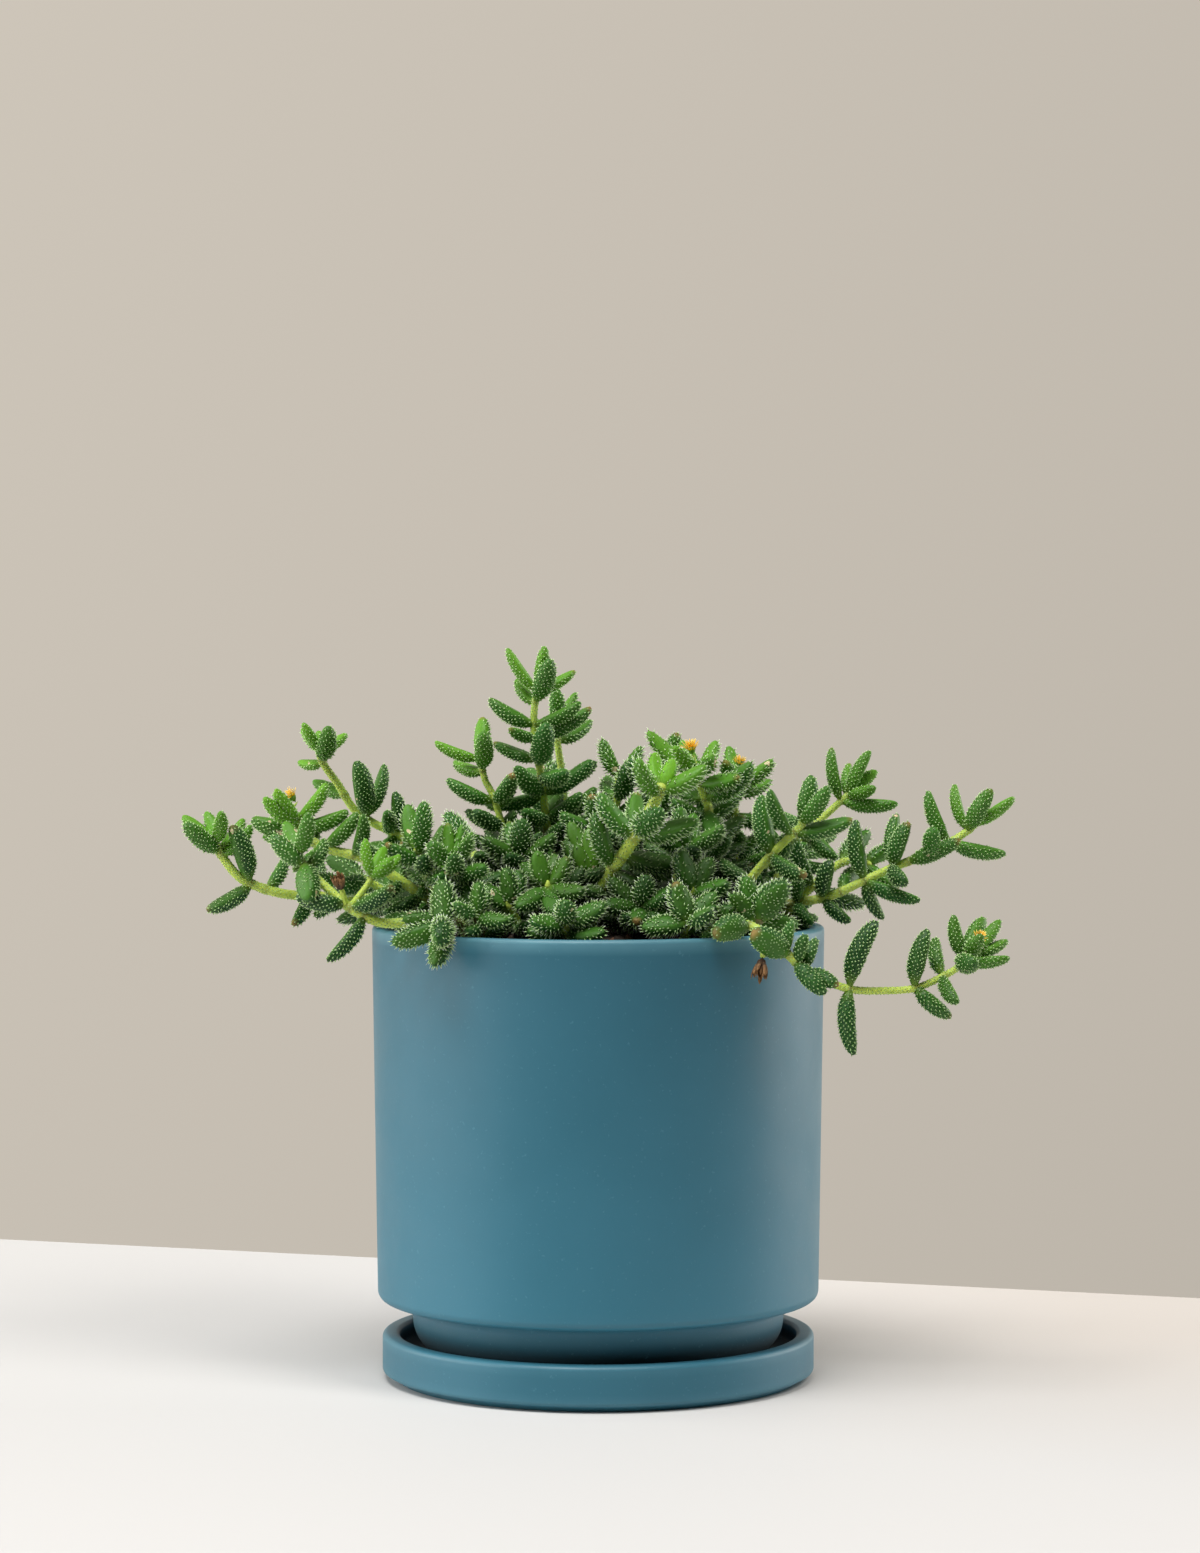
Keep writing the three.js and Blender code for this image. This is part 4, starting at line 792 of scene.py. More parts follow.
@dataclass(frozen=True)
class Petal:
    """Thin petals from orange-yellow in the middle to cream at their points."""

    middle: Colour = (1.0, 0.50, 0.0)
    point: Colour = (1.0, 0.74, 0.20)

    def material(self) -> Finish:
        """Makes the petal.

        Returns:
            the petal.
        """
        tree = Tree("yellow_petal")
        streak = tree.span(tree.noise(1400, 3), 0.3, 0.7, -0.15, 0.15)
        share = tree.maths("ADD", tree.value("out"), streak)
        colour = tree.mix(tree.span(share, 0.5, 1.05), self.middle, self.point)
        normal = tree.bump(tree.noise(2600, 2), 0.06, 0.6)
        return tree.finished({
            "Base Color": colour, "Roughness": 0.7, "Normal": normal, "Specular IOR Level": 0.15,
            "Subsurface Weight": 0.15, "Subsurface Radius": (0.9, 0.6, 0.2), "Subsurface Scale": 0.0008,
        })


@dataclass(frozen=True)
class DriedPetal:
    """A withered flower: dark brown, ochre along its edges."""

    dark: Colour = (0.045, 0.021, 0.011)
    ochre: Colour = (0.33, 0.17, 0.06)

    def material(self) -> Finish:
        """Makes the withered petal.

        Returns:
            the withered petal.
        """
        tree = Tree("withered_petal")
        streak = tree.noise(1300, 5, 0.7)
        share = tree.maths("ADD", tree.span(tree.value("out"), 0, 1, -0.25, 0.3), streak)
        colour = tree.mix(tree.span(share, 0.35, 0.85), self.dark, self.ochre)
        normal = tree.bump(streak, 0.4, 0.9)
        return tree.finished({"Base Color": colour, "Roughness": 0.85, "Normal": normal})


def full_turn(sides: int) -> Array:
    """So many even angles round a turn, from 0."""
    return np.arange(sides) * 2 * math.pi / sides


def arc(r: float, z: float, radius: float, start: float, end: float, steps: int) -> Array:
    """Points [r, z] of an arc about a centre, between two angles."""
    angles = np.linspace(start, end, steps + 1)
    return np.stack([r + radius * np.cos(angles), z + radius * np.sin(angles)], axis=-1)


def lathed(profile: Array, sides: int) -> Array:
    """The rings of a profile [radius, height] turned round +Z, running anticlockwise.

    Args:
        profile: points [radius, height].
        sides: how many points a ring has.

    Returns:
        the rings.
    """
    angles = full_turn(sides)
    radius, height = profile[:, :1], profile[:, 1:]
    return np.stack([radius * np.cos(angles), radius * np.sin(angles), height + 0 * angles], axis=-1)


def stretched(profile: Array, longest: float) -> Array:
    """The profile with its long straight runs cut into steps no longer than this.

    Args:
        profile: points [radius, height].
        longest: the longest step in mm.

    Returns:
        the points.
    """
    lengths = np.linalg.norm(np.diff(profile, axis=0), axis=1)
    counts = np.maximum(1, np.ceil(lengths / longest).astype(int))
    places = np.concatenate([i + np.arange(n) / n for i, n in enumerate(counts)] + [[len(profile) - 1.0]])
    index = np.arange(len(profile))
    return np.stack([np.interp(places, index, profile[:, axis]) for axis in (0, 1)], axis=-1)


def edge_share(points: Array) -> Array:
    """How strongly a profile bends outward at each point, from 0 to 1, spread a little along it.

    Args:
        points: the profile, [radius, height] in mm.

    Returns:
        a share for each point.
    """
    steps = np.diff(points, axis=0)
    way = np.unwrap(np.arctan2(steps[:, 1], steps[:, 0]))
    length = np.linalg.norm(steps, axis=1)
    bend = np.zeros(len(points))
    bend[1:-1] = np.diff(way) / np.maximum((length[1:] + length[:-1]) / 2, 0.05)
    place = np.concatenate([[0], np.cumsum(length)])
    near = np.exp(-(((place[:, None] - place[None, :]) / 0.6) ** 2))
    return np.clip((near * np.clip(bend, 0, 1.2)).max(axis=1), 0, 1)


@dataclass(frozen=True)
class Saucer:
    """The round saucer that catches the water."""

    foot: float = 54.3
    radius: float = 57.35
    height: float = 12.1
    wall: float = 4.6
    floor: float = 6
    well: float = 49
    middle: float = 8
    heel: float = 0.8
    heel_round: float = 0.5
    side_start: float = 2.9
    side_round: float = 1.5
    lip_round: float = 1.3
    inner_round: float = 1.2
    well_start: float = 2.2
    well_round: float = 1.8
    thin_share: float = 0.3
    low_share: float = 0.4
    sides: int = 224

    def profile(self) -> Array:
        """Its section from the underside's middle out, up, in over the rim and back to the middle.

        Returns:
            points [radius, height].
        """
        inner = self.radius - self.wall
        quarter = math.pi / 2
        return np.concatenate([
            [[self.middle, 0], [self.foot - self.heel, 0]],
            arc(self.foot - self.heel, self.heel_round, self.heel_round, -quarter, -0.3, 3),
            arc(self.radius - self.side_round, self.side_start, self.side_round, -0.55, 0, 4),
            arc(self.radius - self.lip_round, self.height - self.lip_round, self.lip_round, 0, quarter, 9),
            arc(inner + self.inner_round, self.height - self.inner_round, self.inner_round,
                quarter, 2 * quarter, 7),
            arc(inner - self.well_round, self.floor + self.well_start, self.well_round, 0.0, -0.6, 3),
            [[self.well, self.floor], [self.middle, self.floor]],
        ])

    def build(self, glaze: Finish) -> Piece:
        """Makes the saucer and puts its glaze on.

        Args:
            glaze: its finish.

        Returns:
            the piece.
        """
        points = stretched(self.profile(), 2.5)
        middles = [np.array([0.0, 0, z]) for z in (points[0, 1], points[-1, 1])]
        skin = tube(lathed(points, self.sides), *middles)
        # edges paler from thin glaze and a painted highlight, weaker on the saucer
        edge = np.repeat(edge_share(points), self.sides)
        skin.values["edge"] = self.thin_share * np.concatenate([edge, [0, 0]])
        # painted bounce light: the saucer takes a fixed share of the glaze's brightening low down
        skin.values["low"] = self.low_share
        # painted shade: the saucer's well darkens below its rim
        inside = np.hypot(skin.points[:, 0], skin.points[:, 1]) < self.radius - self.wall + 0.2
        skin.values["deep"] = inside * smooth_step(self.height - 1, self.height - 3, skin.points[:, 2])
        return make_piece("glazed_saucer", [skin], [glaze], Slot.GLAZE, "saucer")


@dataclass(frozen=True)
class Pot:
    """The straight glazed pot with a short foot that stands in the saucer."""

    rim: float = 60
    top: float = 120
    wall: float = 3.7
    belly: float = 58.6
    underside: float = 21
    foot: float = 48
    saucer_floor: float = 6
    floor: float = 13
    drain: float = 4
    corner: float = 2.4
    recess: float = 3
    ring: float = 9.6
    ring_bevel: float = 0.4
    foot_flat: float = 8.7
    foot_round: float = 10
    lip_round: float = 1.1
    inner_round: float = 1.4
    inner_foot: float = 4.5
    thin_share: float = 0.12
    # painted shade: the mm below the underside where the foot's darkening starts and where it is full
    shade: Pair = (2, 10)
    sides: int = 256

    def profile(self) -> Array:
        """Its section from the drain hole under the floor, out, up, over the rim and back down inside.

        Returns:
            points [radius, height].
        """
        quarter = math.pi / 2
        inner = self.rim - self.wall
        base, under, ring = self.saucer_floor, self.saucer_floor + self.recess, self.foot - self.ring
        return np.concatenate([
            [[self.drain, under], [ring, under], [ring, base + self.ring_bevel]],
            [[ring + self.ring_bevel, base]],
            arc(self.foot - self.foot_flat, base + self.foot_round, self.foot_round, -quarter, 0, 12),
            [[self.foot + 1.3, self.underside - 1.2], [self.foot + 2.4, self.underside - 0.2]],
            arc(self.belly - self.corner, self.underside + self.corner, self.corner, -quarter, 0, 12),
            arc(self.rim - self.lip_round, self.top - self.lip_round, self.lip_round, 0, quarter, 9),
            arc(inner + self.inner_round, self.top - self.inner_round, self.inner_round,
                quarter, 2 * quarter, 6),
            [[inner, self.underside + 2 * self.inner_foot], [inner - 3, self.underside + self.inner_foot]],
            [[self.foot - self.inner_foot, self.floor], [self.drain, self.floor]],
        ])

    def build(self, glaze: Finish) -> Piece:
        """Makes the pot and puts its glaze on.

        Args:
            glaze: its finish.

        Returns:
            the piece.
        """
        points = stretched(self.profile(), 3)
        skin = tube(lathed(points, self.sides))
        height = skin.points[:, 2]
        # edges paler from thin glaze and a painted highlight, full on the rim and weak low down
        edge = np.repeat(edge_share(points), self.sides)
        skin.values["edge"] = edge * np.where(height > self.top / 2, 1, self.thin_share)
        # painted bounce light: the glaze brightens towards the pot's bottom
        skin.values["low"] = 1 - np.clip((height - self.underside) / (self.top - self.underside), 0, 1)
        # painted shade: the foot darkens below the underside
        skin.values["deep"] = smooth_step(*(self.underside - below for below in self.shade), height)
        return make_piece("glazed_pot", [skin], [glaze], Slot.GLAZE, "pot")

    def gap(self, soil: "Soil", places: Array) -> Array:
        """Distance of each place from the pot's wall or the soil, in mm.

        Args:
            soil: the soil in the pot.
            places: points in mm.

        Returns:
            a distance for each place.
        """
        distance = np.hypot(places[:, 0], places[:, 1])
        beside = np.maximum(self.rim - self.wall - distance, distance - self.rim)
        above = places[:, 2] - self.top
        wall = np.where(above > 0, np.hypot(np.maximum(beside, 0), above), beside)
        return np.where(distance < self.rim, np.minimum(wall, places[:, 2] - soil.height(distance)), wall)


@dataclass(frozen=True)
class Soil:
    """The soil in the pot: a shallow mound with a crumbled top."""

    edge: float = 116.5
    crown: float = 121.5
    radius: float = 56
    floor: float = 13
    foot: float = 43.2
    turn: float = 30
    sides: int = 260
    rings: int = 74
    crumbs: int = 1500
    crumb_size: Pair = (0.8, 1.7)
    crumb_cap: Pair = (0.8, 0.35)
    lump_limits: Pair = (-0.5, 1.3)
    chips: int = 260
    chip_size: Pair = (0.5, 1.1)
    chip_stretch: Triple = (1.5, 1.0, 0.6)
    crumb_seed: int = 11
    chip_seed: int = 12

    def height(self, distance: Array | float) -> Array | float:
        """Its height at a distance from the pot's axis: the crown less a square of the distance."""
        return self.crown - (self.crown - self.edge) * (distance / self.radius) ** 2

    def lumps(self, places: Array, seed: int) -> Array:
        """Height of half-sunk round crumbs over places [x, y]: the highest cap at each place.

        Args:
            places: points [x, y].
            seed: starts the draws.

        Returns:
            a height for each place.
        """
        random = np.random.default_rng(seed)
        count = self.crumbs
        away = (self.radius - 1) * np.sqrt(random.random(count))
        turn = random.random(count) * 2 * math.pi
        middles = np.stack([away * np.cos(turn), away * np.sin(turn)], axis=-1)
        least, more = self.crumb_size
        size = least + more * random.random(count) ** 2
        high, sunk = self.crumb_cap
        squares = ((places[:, None, :] - middles[None, :, :]) ** 2).sum(axis=-1)
        caps = np.sqrt(np.clip(size**2 - squares, 0, None)) * high - sunk * size
        return np.clip(caps.max(axis=1), *self.lump_limits)

    def build(self, earth: Finish) -> Piece:
        """Makes the soil: its crumbled top, its plain sides in the pot, and chips strewn over it.

        Args:
            earth: its finish.

        Returns:
            the piece.
        """
        across = self.radius * np.linspace(1, 0, self.rings + 1)[:-1] ** 0.85
        top = np.stack([across, self.height(across)], axis=-1)
        below = [[self.foot, self.floor], [self.radius - 3, self.turn - 4.2], [self.radius, self.turn]]
        profile = np.concatenate([below, top])
        rings = lathed(profile, self.sides)
        upper = rings[len(below) + 1 :]
        upper[..., 2] += np.stack([self.lumps(ring[:, :2], self.crumb_seed) for ring in upper])
        skin = tube(rings, np.array([0, 0, self.floor]), np.array([0, 0, self.crown]))
        return make_piece("potting_soil", [skin, self.strewn(self.chip_seed)], [earth], Slot.SOIL, "soil")

    def strewn(self, seed: int) -> Surface:
        """Chips of bark and grit: octahedra with uneven corners, half sunk in the top.

        Args:
            seed: starts the draws.

        Returns:
            all of them as one surface.
        """
        random = np.random.default_rng(seed)
        away = (self.radius - 2.5) * np.sqrt(random.random(self.chips))
        turn = random.random(self.chips) * 2 * math.pi
        middles = np.stack([away * np.cos(turn), away * np.sin(turn), self.height(away) + 0.5], axis=-1)
        least, more = self.chip_size
        size = least + more * random.random((self.chips, 1, 1)) ** 1.5
        corners = np.array([[1, 0, 0], [0, 1, 0], [-1, 0, 0], [0, -1, 0], [0, 0, 1], [0, 0, -1]], float)
        uneven = 0.6 + 0.8 * random.random((self.chips, 6, 1))
        frames = np.linalg.qr(random.normal(size=(self.chips, 3, 3)))[0]
        frames *= np.sign(np.linalg.det(frames))[:, None, None]
        points = middles[:, None, :] + (corners[None] * uneven * size * np.array(self.chip_stretch)) @ frames
        faces = np.array([[0, 1, 4], [1, 2, 4], [2, 3, 4], [3, 0, 4]])
        faces = np.concatenate([faces, faces[:, [1, 0, 2]] + [0, 0, 1]])
        faces = (faces[None] + 6 * np.arange(self.chips)[:, None, None]).reshape(-1, 3)
        chip = np.repeat(random.random(self.chips) ** 1.5, 6)
        return Surface(points.reshape(-1, 3), triangles=faces, values={"chip": chip})


POT = Pot()
SOIL = Soil()


@dataclass(frozen=True)
class StemCurve:
    """The line that a stem follows: a Catmull-Rom curve with tension 0.5 through its points."""

    points: Array

    def at(self, shares: Array | float) -> Array:
        """Points at shares of the way along.

        Between points b and c, with a and d on either side, a place x of the way is
        b + s x + (3(c - b) - 2s - e) x^2 + (2(b - c) + s + e) x^3,
        where s is half of c - a and e half of d - b.

        Args:
            shares: shares of the way along.

        Returns:
            the points.
        """
        points = self.points
        padded = np.concatenate([
            [points[0] - points[1] + points[0]], points, [points[-1] - points[-2] + points[-1]],
        ])
        place = np.asarray(shares, float) * (len(points) - 1)
        segment = np.minimum(np.floor(place).astype(int), len(points) - 2)
        x = (place - segment)[..., None]
        a, b, c, d = (padded[segment + step] for step in range(4))
        start, end = 0.5 * (c - a), 0.5 * (d - b)
        square = -3 * b + 3 * c - 2 * start - end
        cube = 2 * b - 2 * c + start + end
        return b + start * x + square * (x * x) + cube * (x * x * x)

    def heading(self, shares: Array | float) -> Array:
        """The direction of the curve, from points 0.0001 of its way to either side.

        Args:
            shares: shares of the way along.

        Returns:
            unit directions.
        """
        step = 0.0001
        shares = np.asarray(shares, float)
        return unit(self.at(np.minimum(shares + step, 1)) - self.at(np.maximum(shares - step, 0)))

    def length(self) -> float:
        """Its length in mm, in 200 steps."""
        return float(np.linalg.norm(np.diff(self.at(np.arange(201) / 200), axis=0), axis=1).sum())

    def middle(self, share: float) -> Array:
        """The point on the straight steps of the solid stem, which cut the corners of the curve.

        Args:
            share: share of the way along.

        Returns:
            the point.
        """
        steps = max(2, math.floor(self.length() / STEM_STEP + 0.5))
        step = min(math.floor(share * steps), steps - 1)
        start, end = self.at(step / steps), self.at((step + 1) / steps)
        return start + (end - start) * (share * steps - step)


@dataclass
class Room:
    """The room taken so far: balls [x, y, z, radius] in mm, each with the piece that owns it."""

    balls: Array = field(default_factory=lambda: np.zeros((0, 4)))
    owners: list[str] = field(default_factory=list)

    def claim(self, owner: str, balls: Array) -> None:
        """Takes this room for a piece."""
        self.balls = np.concatenate([self.balls, balls])
        self.owners += [owner] * len(balls)

    def leaves_room(self, owner: str | None, balls: Array, space: float = SPACE) -> bool:
        """True if the balls keep their distance from those of every piece but the owner.

        Args:
            owner: the piece that doesn't count, if any.
            balls: the room that is asked for.
            space: the distance to keep in mm.

        Returns:
            True if it is free.
        """
        others = self.balls[np.array([each != owner for each in self.owners], bool)]
        apart = np.linalg.norm(balls[:, None, :3] - others[None, :, :3], axis=-1)
        return bool((apart > balls[:, None, 3] + others[None, :, 3] + space).all())


@dataclass
class Shoot:
    """One leafy stem."""

    name: str
    thick: float
    root: Sequence[float]
    stem: Rows
    leaves: Rows | None = None
    on: str | None = None
    roll: float = 0.0
    pairs: Rows = ()
    grows: bool = True

    @property
    def owner(self) -> str:
        """The piece that it is part of."""
        return self.on or self.name

    def curve(self) -> StemCurve:
        """The line of its stem, which starts 1.2 mm above the soil unless it grows on another stem."""
        start = [] if self.on else [[*self.root, SOIL.height(math.hypot(*self.root)) + STEM_ABOVE]]
        return StemCurve(np.array([*start, *self.stem], float))

    def radius(self, share: Array | float) -> Array | float:
        """Its stem's radius: it tapers evenly."""
        return self.thick * (1 - (1 - STEM_TAPER) * share)

    def stem_balls(self, curve: StemCurve) -> Array:
        """Balls that fill its stem, 1.5 mm apart.

        Args:
            curve: the line of its stem.

        Returns:
            the balls, [x, y, z, radius].
        """
        count = math.ceil(curve.length() / STEM_BALLS)
        shares = np.arange(count + 1) / count
        return np.concatenate([curve.at(shares), self.radius(shares)[:, None]], axis=1)

    def rows(self, curve: StemCurve) -> list[list[float]]:
        """Its leaves' rows: its own, or crossed pairs, shorter and steeper towards the tip.

        Args:
            curve: the line of its stem.

        Returns:
            rows as in a shoot's leaves.
        """
        if self.leaves is not None:
            return [list(row) for row in self.leaves]
        rows = []
        for pair, (at, opened, length, width) in enumerate(self.pairs):
            growth = curve.heading(at)
            turn = self.roll + pair * math.pi / 2
            across = turned_about(square_to(growth), growth, turn)
            for sign in (1, -1):
                reach = growth * math.cos(opened) * length + across * sign * math.sin(opened) * length
                rows.append([at, *reach, width])
        return rows


def numbered(name: str, i: int) -> str:
    """A name with a number of two figures after it, from 01."""
    return f"{name}_{i + 1:02d}"


def back_shoots(draw: Callable[[], float]) -> list[Shoot]:
    """The shoots that the front ones hide: golden-angle bearings over the back of the pot.

    Args:
        draw: gives the next number.

    Returns:
        the shoots.
    """
    shoots = []
    for i in range(BACK_COUNT):
        bearing = BACK_FROM + (BACK_TO - BACK_FROM) * ((0.35 + i * GOLDEN) % 1)
        outer = i % 3 != 2
        ranges = OUTER_SHOOTS if outer else INNER_SHOOTS
        start, reach, rise = (least + more * draw() for least, more in ranges)
        droop = BACK_DROOP * draw() if outer else 0
        turn = bearing + 0.5 * (draw() - 0.5)
        root = [math.cos(bearing) * start, math.sin(bearing) * start]
        low = SOIL.height(start) + 6
        places = [
            (0.12, low - 1.5), (0.42, low + rise * 0.4), (0.75, low + rise * 0.8), (1.05, low + rise - droop),
        ]
        stem = [
            [root[0] + math.cos(turn) * reach * share, root[1] + math.sin(turn) * reach * share, height]
            for share, height in places
        ]
        roll = draw() * math.pi
        shoots.append(Shoot(numbered("shoot_back", i), BACK_THICK, root, stem, roll=roll, pairs=BACK_PAIRS))
    return shoots


def low_shoots(roots: list[Sequence[float]], draw: Callable[[], float]) -> list[Shoot]:
    """The low shoots: a golden-angle spiral over the soil, wherever no other root is near.

    Args:
        roots: where the others stand; the new ones are added.
        draw: gives the next number.

    Returns:
        the shoots.
    """
    shoots = []
    for i in range(LOW_TRIES):
        distance = LOW_RADIUS * math.sqrt((i + 0.5) / LOW_TRIES)
        bearing = i * 2 * math.pi * GOLDEN
        root = [math.cos(bearing) * distance, math.sin(bearing) * distance]
        rise = 7 + 7 * draw()
        turn = bearing + 1.6 * (draw() - 0.5)
        roll = draw() * math.pi
        if all(math.hypot(root[0] - x, root[1] - y) > LOW_APART for x, y in roots):
            low = SOIL.height(distance)
            lean = 0.35 * rise
            stem = [
                [root[0] + lean * share * math.cos(turn), root[1] + lean * share * math.sin(turn), height]
                for share, height in ((0.3, low + 3.5), (1, low + 2 + rise))
            ]
            name = numbered("shoot_low", len(shoots))
            shoots.append(Shoot(name, LOW_THICK, root, stem, roll=roll, pairs=LOW_PAIRS))
            roots.append(root)
    return shoots


@dataclass
class Leaf:
    """One leaf: a plump, blunt succulent leaf with a shallow channel along its upper face.

    foot, control and tip set its middle line, (1-t)^2 foot + 2t(1-t) control + t^2 tip.
    """

    foot: Array
    control: Array
    tip: Array
    growth: Array
    width: float
    at: float
    fresh: float = 0.3
    tone: float = 0.0
    channel: float = 0.5
    early: float = 0.9
    sway: float = 0.0
    scar: float = 0.0
    bristle: float = 1.0
    bare: float = 0.84
    low: float = 0.0
    inner: float = 0.0
    rings: int = 13
    sides: int = 12
    keel: float = 0.93
    crown: float = 0.8
    groove: float = 0.34

    def age_by_place(self) -> None:
        """Makes a leaf low on the plant older, hairier and darker, partly as painted shade, and one near the
        pot's axis dimmed by painted shade as well.
        """
        x, y, height = self.control
        self.low = float(smooth_step(*OLD_HEIGHTS, height))
        # painted shade: low leaves near the pot's axis get a share that dims them
        near = smooth_step(*HEART_REACHES, math.hypot(x, y))
        self.inner = float(smooth_step(*HEART_HEIGHTS, height) * near)
        # low leaves lose freshness and tone: partly age, partly painted shade low in the plant
        self.fresh *= 1 - OLD_FRESH * self.low
        self.bare -= OLD_BARE * self.low
        self.tone -= OLD_TONE * self.low

    def line(self, t: Array) -> Array:
        """Points of its middle line."""
        t = t[..., None]
        return (1 - t) ** 2 * self.foot + 2 * t * (1 - t) * self.control + t * t * self.tip

    def heading(self, t: Array) -> Array:
        """Direction of its middle line."""
        t = t[..., None]
        return unit((1 - t) * (self.control - self.foot) + t * (self.tip - self.control))

    def side(self) -> Array:
        """The way across it, square to the plane that it bends in."""
        return square_to(self.heading(np.array(0.0)), self.growth)

    def outline(self, t: Array) -> Array:
        """Share of its half width along it: the root of 1 - |2t^k - 1|^2.25, drawn in to 0.66 at its foot."""
        place = np.abs(2 * np.clip(t, 0, 1) ** self.early - 1)
        return 1.04 * np.sqrt(np.clip(1 - place**2.25, 0, 1)) * (0.66 + 0.34 * smooth_step(0, 0.35, t))

    def skin(self, t: Array, angle: Array) -> Array:
        """Points of its skin.

        From the middle line a point lies cos(angle) of the half width to the side. Below, it lies
        keel sin(angle) down, and above crown sin(angle) up, less a channel, deepest in the middle.

        Args:
            t: shares of the way along it.
            angle: angles round it, 0 to the side.

        Returns:
            the points.
        """
        side = self.side()
        up = np.cross(self.heading(t), side)
        half = (self.outline(t) * self.width / 2)[..., None]
        across, rise = np.cos(angle), np.sin(angle)
        groove = self.groove * self.channel * np.exp(-((across / 0.45) ** 2)) * smooth_step(0.02, 0.3, t)
        groove = groove * (1 - smooth_step(0.85, 1, t))
        height = np.where(rise > 0, self.crown * rise - groove, self.keel * rise)
        sway = (self.sway * 4 * t * (1 - t))[..., None]
        return self.line(t) + side * sway + half * (across[..., None] * side + height[..., None] * up)

    def balls(self) -> Array:
        """Balls that fill the solid leaf, leaving out its root.

        Returns:
            the balls, [x, y, z, radius].
        """
        t = 0.16 + 0.8 * np.arange(BALLS) / (BALLS - 1)
        radius = np.interp(t, BALL_PLACES, BALL_WIDTHS) * self.width / 2
        return np.concatenate([self.line(t), radius[:, None]], axis=1)

    def body(self) -> Surface:
        """Its skin as a mesh, with rings closer together towards both ends.

        Returns:
            the skin.
        """
        t = 0.5 - 0.5 * np.cos(math.pi * np.arange(1, self.rings + 1) / (self.rings + 1))
        t, angle = np.meshgrid(t, full_turn(self.sides), indexing="ij")
        leaf = tube(self.skin(t, angle), self.foot, self.tip)
        upper = smooth_step(-0.1, 0.7, np.sin(angle)).ravel()
        end = smooth_step(0.9, 1, t).ravel() * self.scar
        leaf.values = {
            "upper": np.concatenate([upper, [0.5, 0.5]]),
            "along": np.concatenate([t.ravel(), [0, 1]]),
            "fresh": self.fresh,
            "tone": self.tone,
            "inner": self.inner,
            "scar": np.concatenate([end, [0, self.scar]]),
        }
        return leaf

    def bristles(self, spacing: float, random: Random) -> Surface:
        """The rows of bristles on it, in the spirals that the golden angle gives.

        Each next bristle stands a golden angle round from the last, and as far along as its share of
        the skin.

        Args:
            spacing: how far apart they stand, in mm.
            random: draws for their unevenness.

        Returns:
            all of them as one surface.
        """
        t = np.linspace(0, 1, 200)
        area = np.cumsum(self.outline(t)) / self.outline(t).sum()
        length = float(np.linalg.norm(self.tip - self.foot))
        skin_area = math.pi * 0.88 * self.width * length * float(self.outline(t).mean())
        count = int(skin_area / spacing**2)
        along = np.interp((np.arange(count) + 0.5) / count, area, t)
        angle = np.arange(count) * GOLDEN_ANGLE + random.random() * 6 + random.normal(0, 0.06, count)
        kept = (along > 0.1) & ((np.sin(angle) < 0.45) | (random.random(count) > self.bare))
        along, angle = along[kept], angle[kept]
        step = 0.004
        foot = self.skin(along, angle)
        ahead = self.skin(np.minimum(along + step, 0.999), angle)
        lengthwise = unit(ahead - self.skin(along - step, angle))
        around = unit(self.skin(along, angle + step) - self.skin(along, angle - step))
        out = unit(np.cross(around, lengthwise))
        reach = self.bristle * (0.8 + 0.4 * random.random(len(along))) * (1 - 0.4 * (np.sin(angle) > 0.35))
        return spikes(foot, out, lengthwise, reach, 0.42, random)


def spikes(
    foot: Array, out: Array, lengthwise: Array, reach: Array, lean: float, random: Random
) -> Surface:
    """Bristles as thin three-sided spikes, closed below and sunk a little.

    Args:
        foot: where they stand.
        out: the skin's normals there.
        lengthwise: the way that they lean.
        reach: their lengths in mm.
        lean: how far they lean, from 0 to 1.
        random: draws for their unevenness.

    Returns:
        all of them as one surface, with "out" 0 at their feet and 1 at their points.
    """
    count = len(foot)
    way = unit(out * (1 - lean) + lengthwise * lean + random.normal(0, 0.12, (count, 3)))
    turn = random.random(count) * 2 * math.pi
    across = unit(lengthwise - out * (lengthwise * out).sum(axis=1, keepdims=True))
    beside = np.cross(out, across)
    thick = np.clip(SPIKE_THICK - SPIKE_THINNING * reach, *SPIKE_LIMITS)[:, None]
    turns = [turn + corner * 2 * math.pi / 3 for corner in range(3)]
    corners = [foot - out * SPIKE_SUNK + ways_round(across, beside, each) * thick for each in turns]
    points = np.stack([*corners, foot + way * reach[:, None]], axis=1)
    faces = np.array([[0, 1, 3], [1, 2, 3], [2, 0, 3], [0, 2, 1]])
    faces = (faces[None] + 4 * np.arange(count)[:, None, None]).reshape(-1, 3)
    white = np.clip(SPIKE_WHITE + SPIKE_WHITENING * reach, 0, 1)
    outward = np.tile([0.0, 0, 0, 1], count) * np.repeat(white, 4)
    return Surface(points.reshape(-1, 3), triangles=faces, finish=2, values={"out": outward})


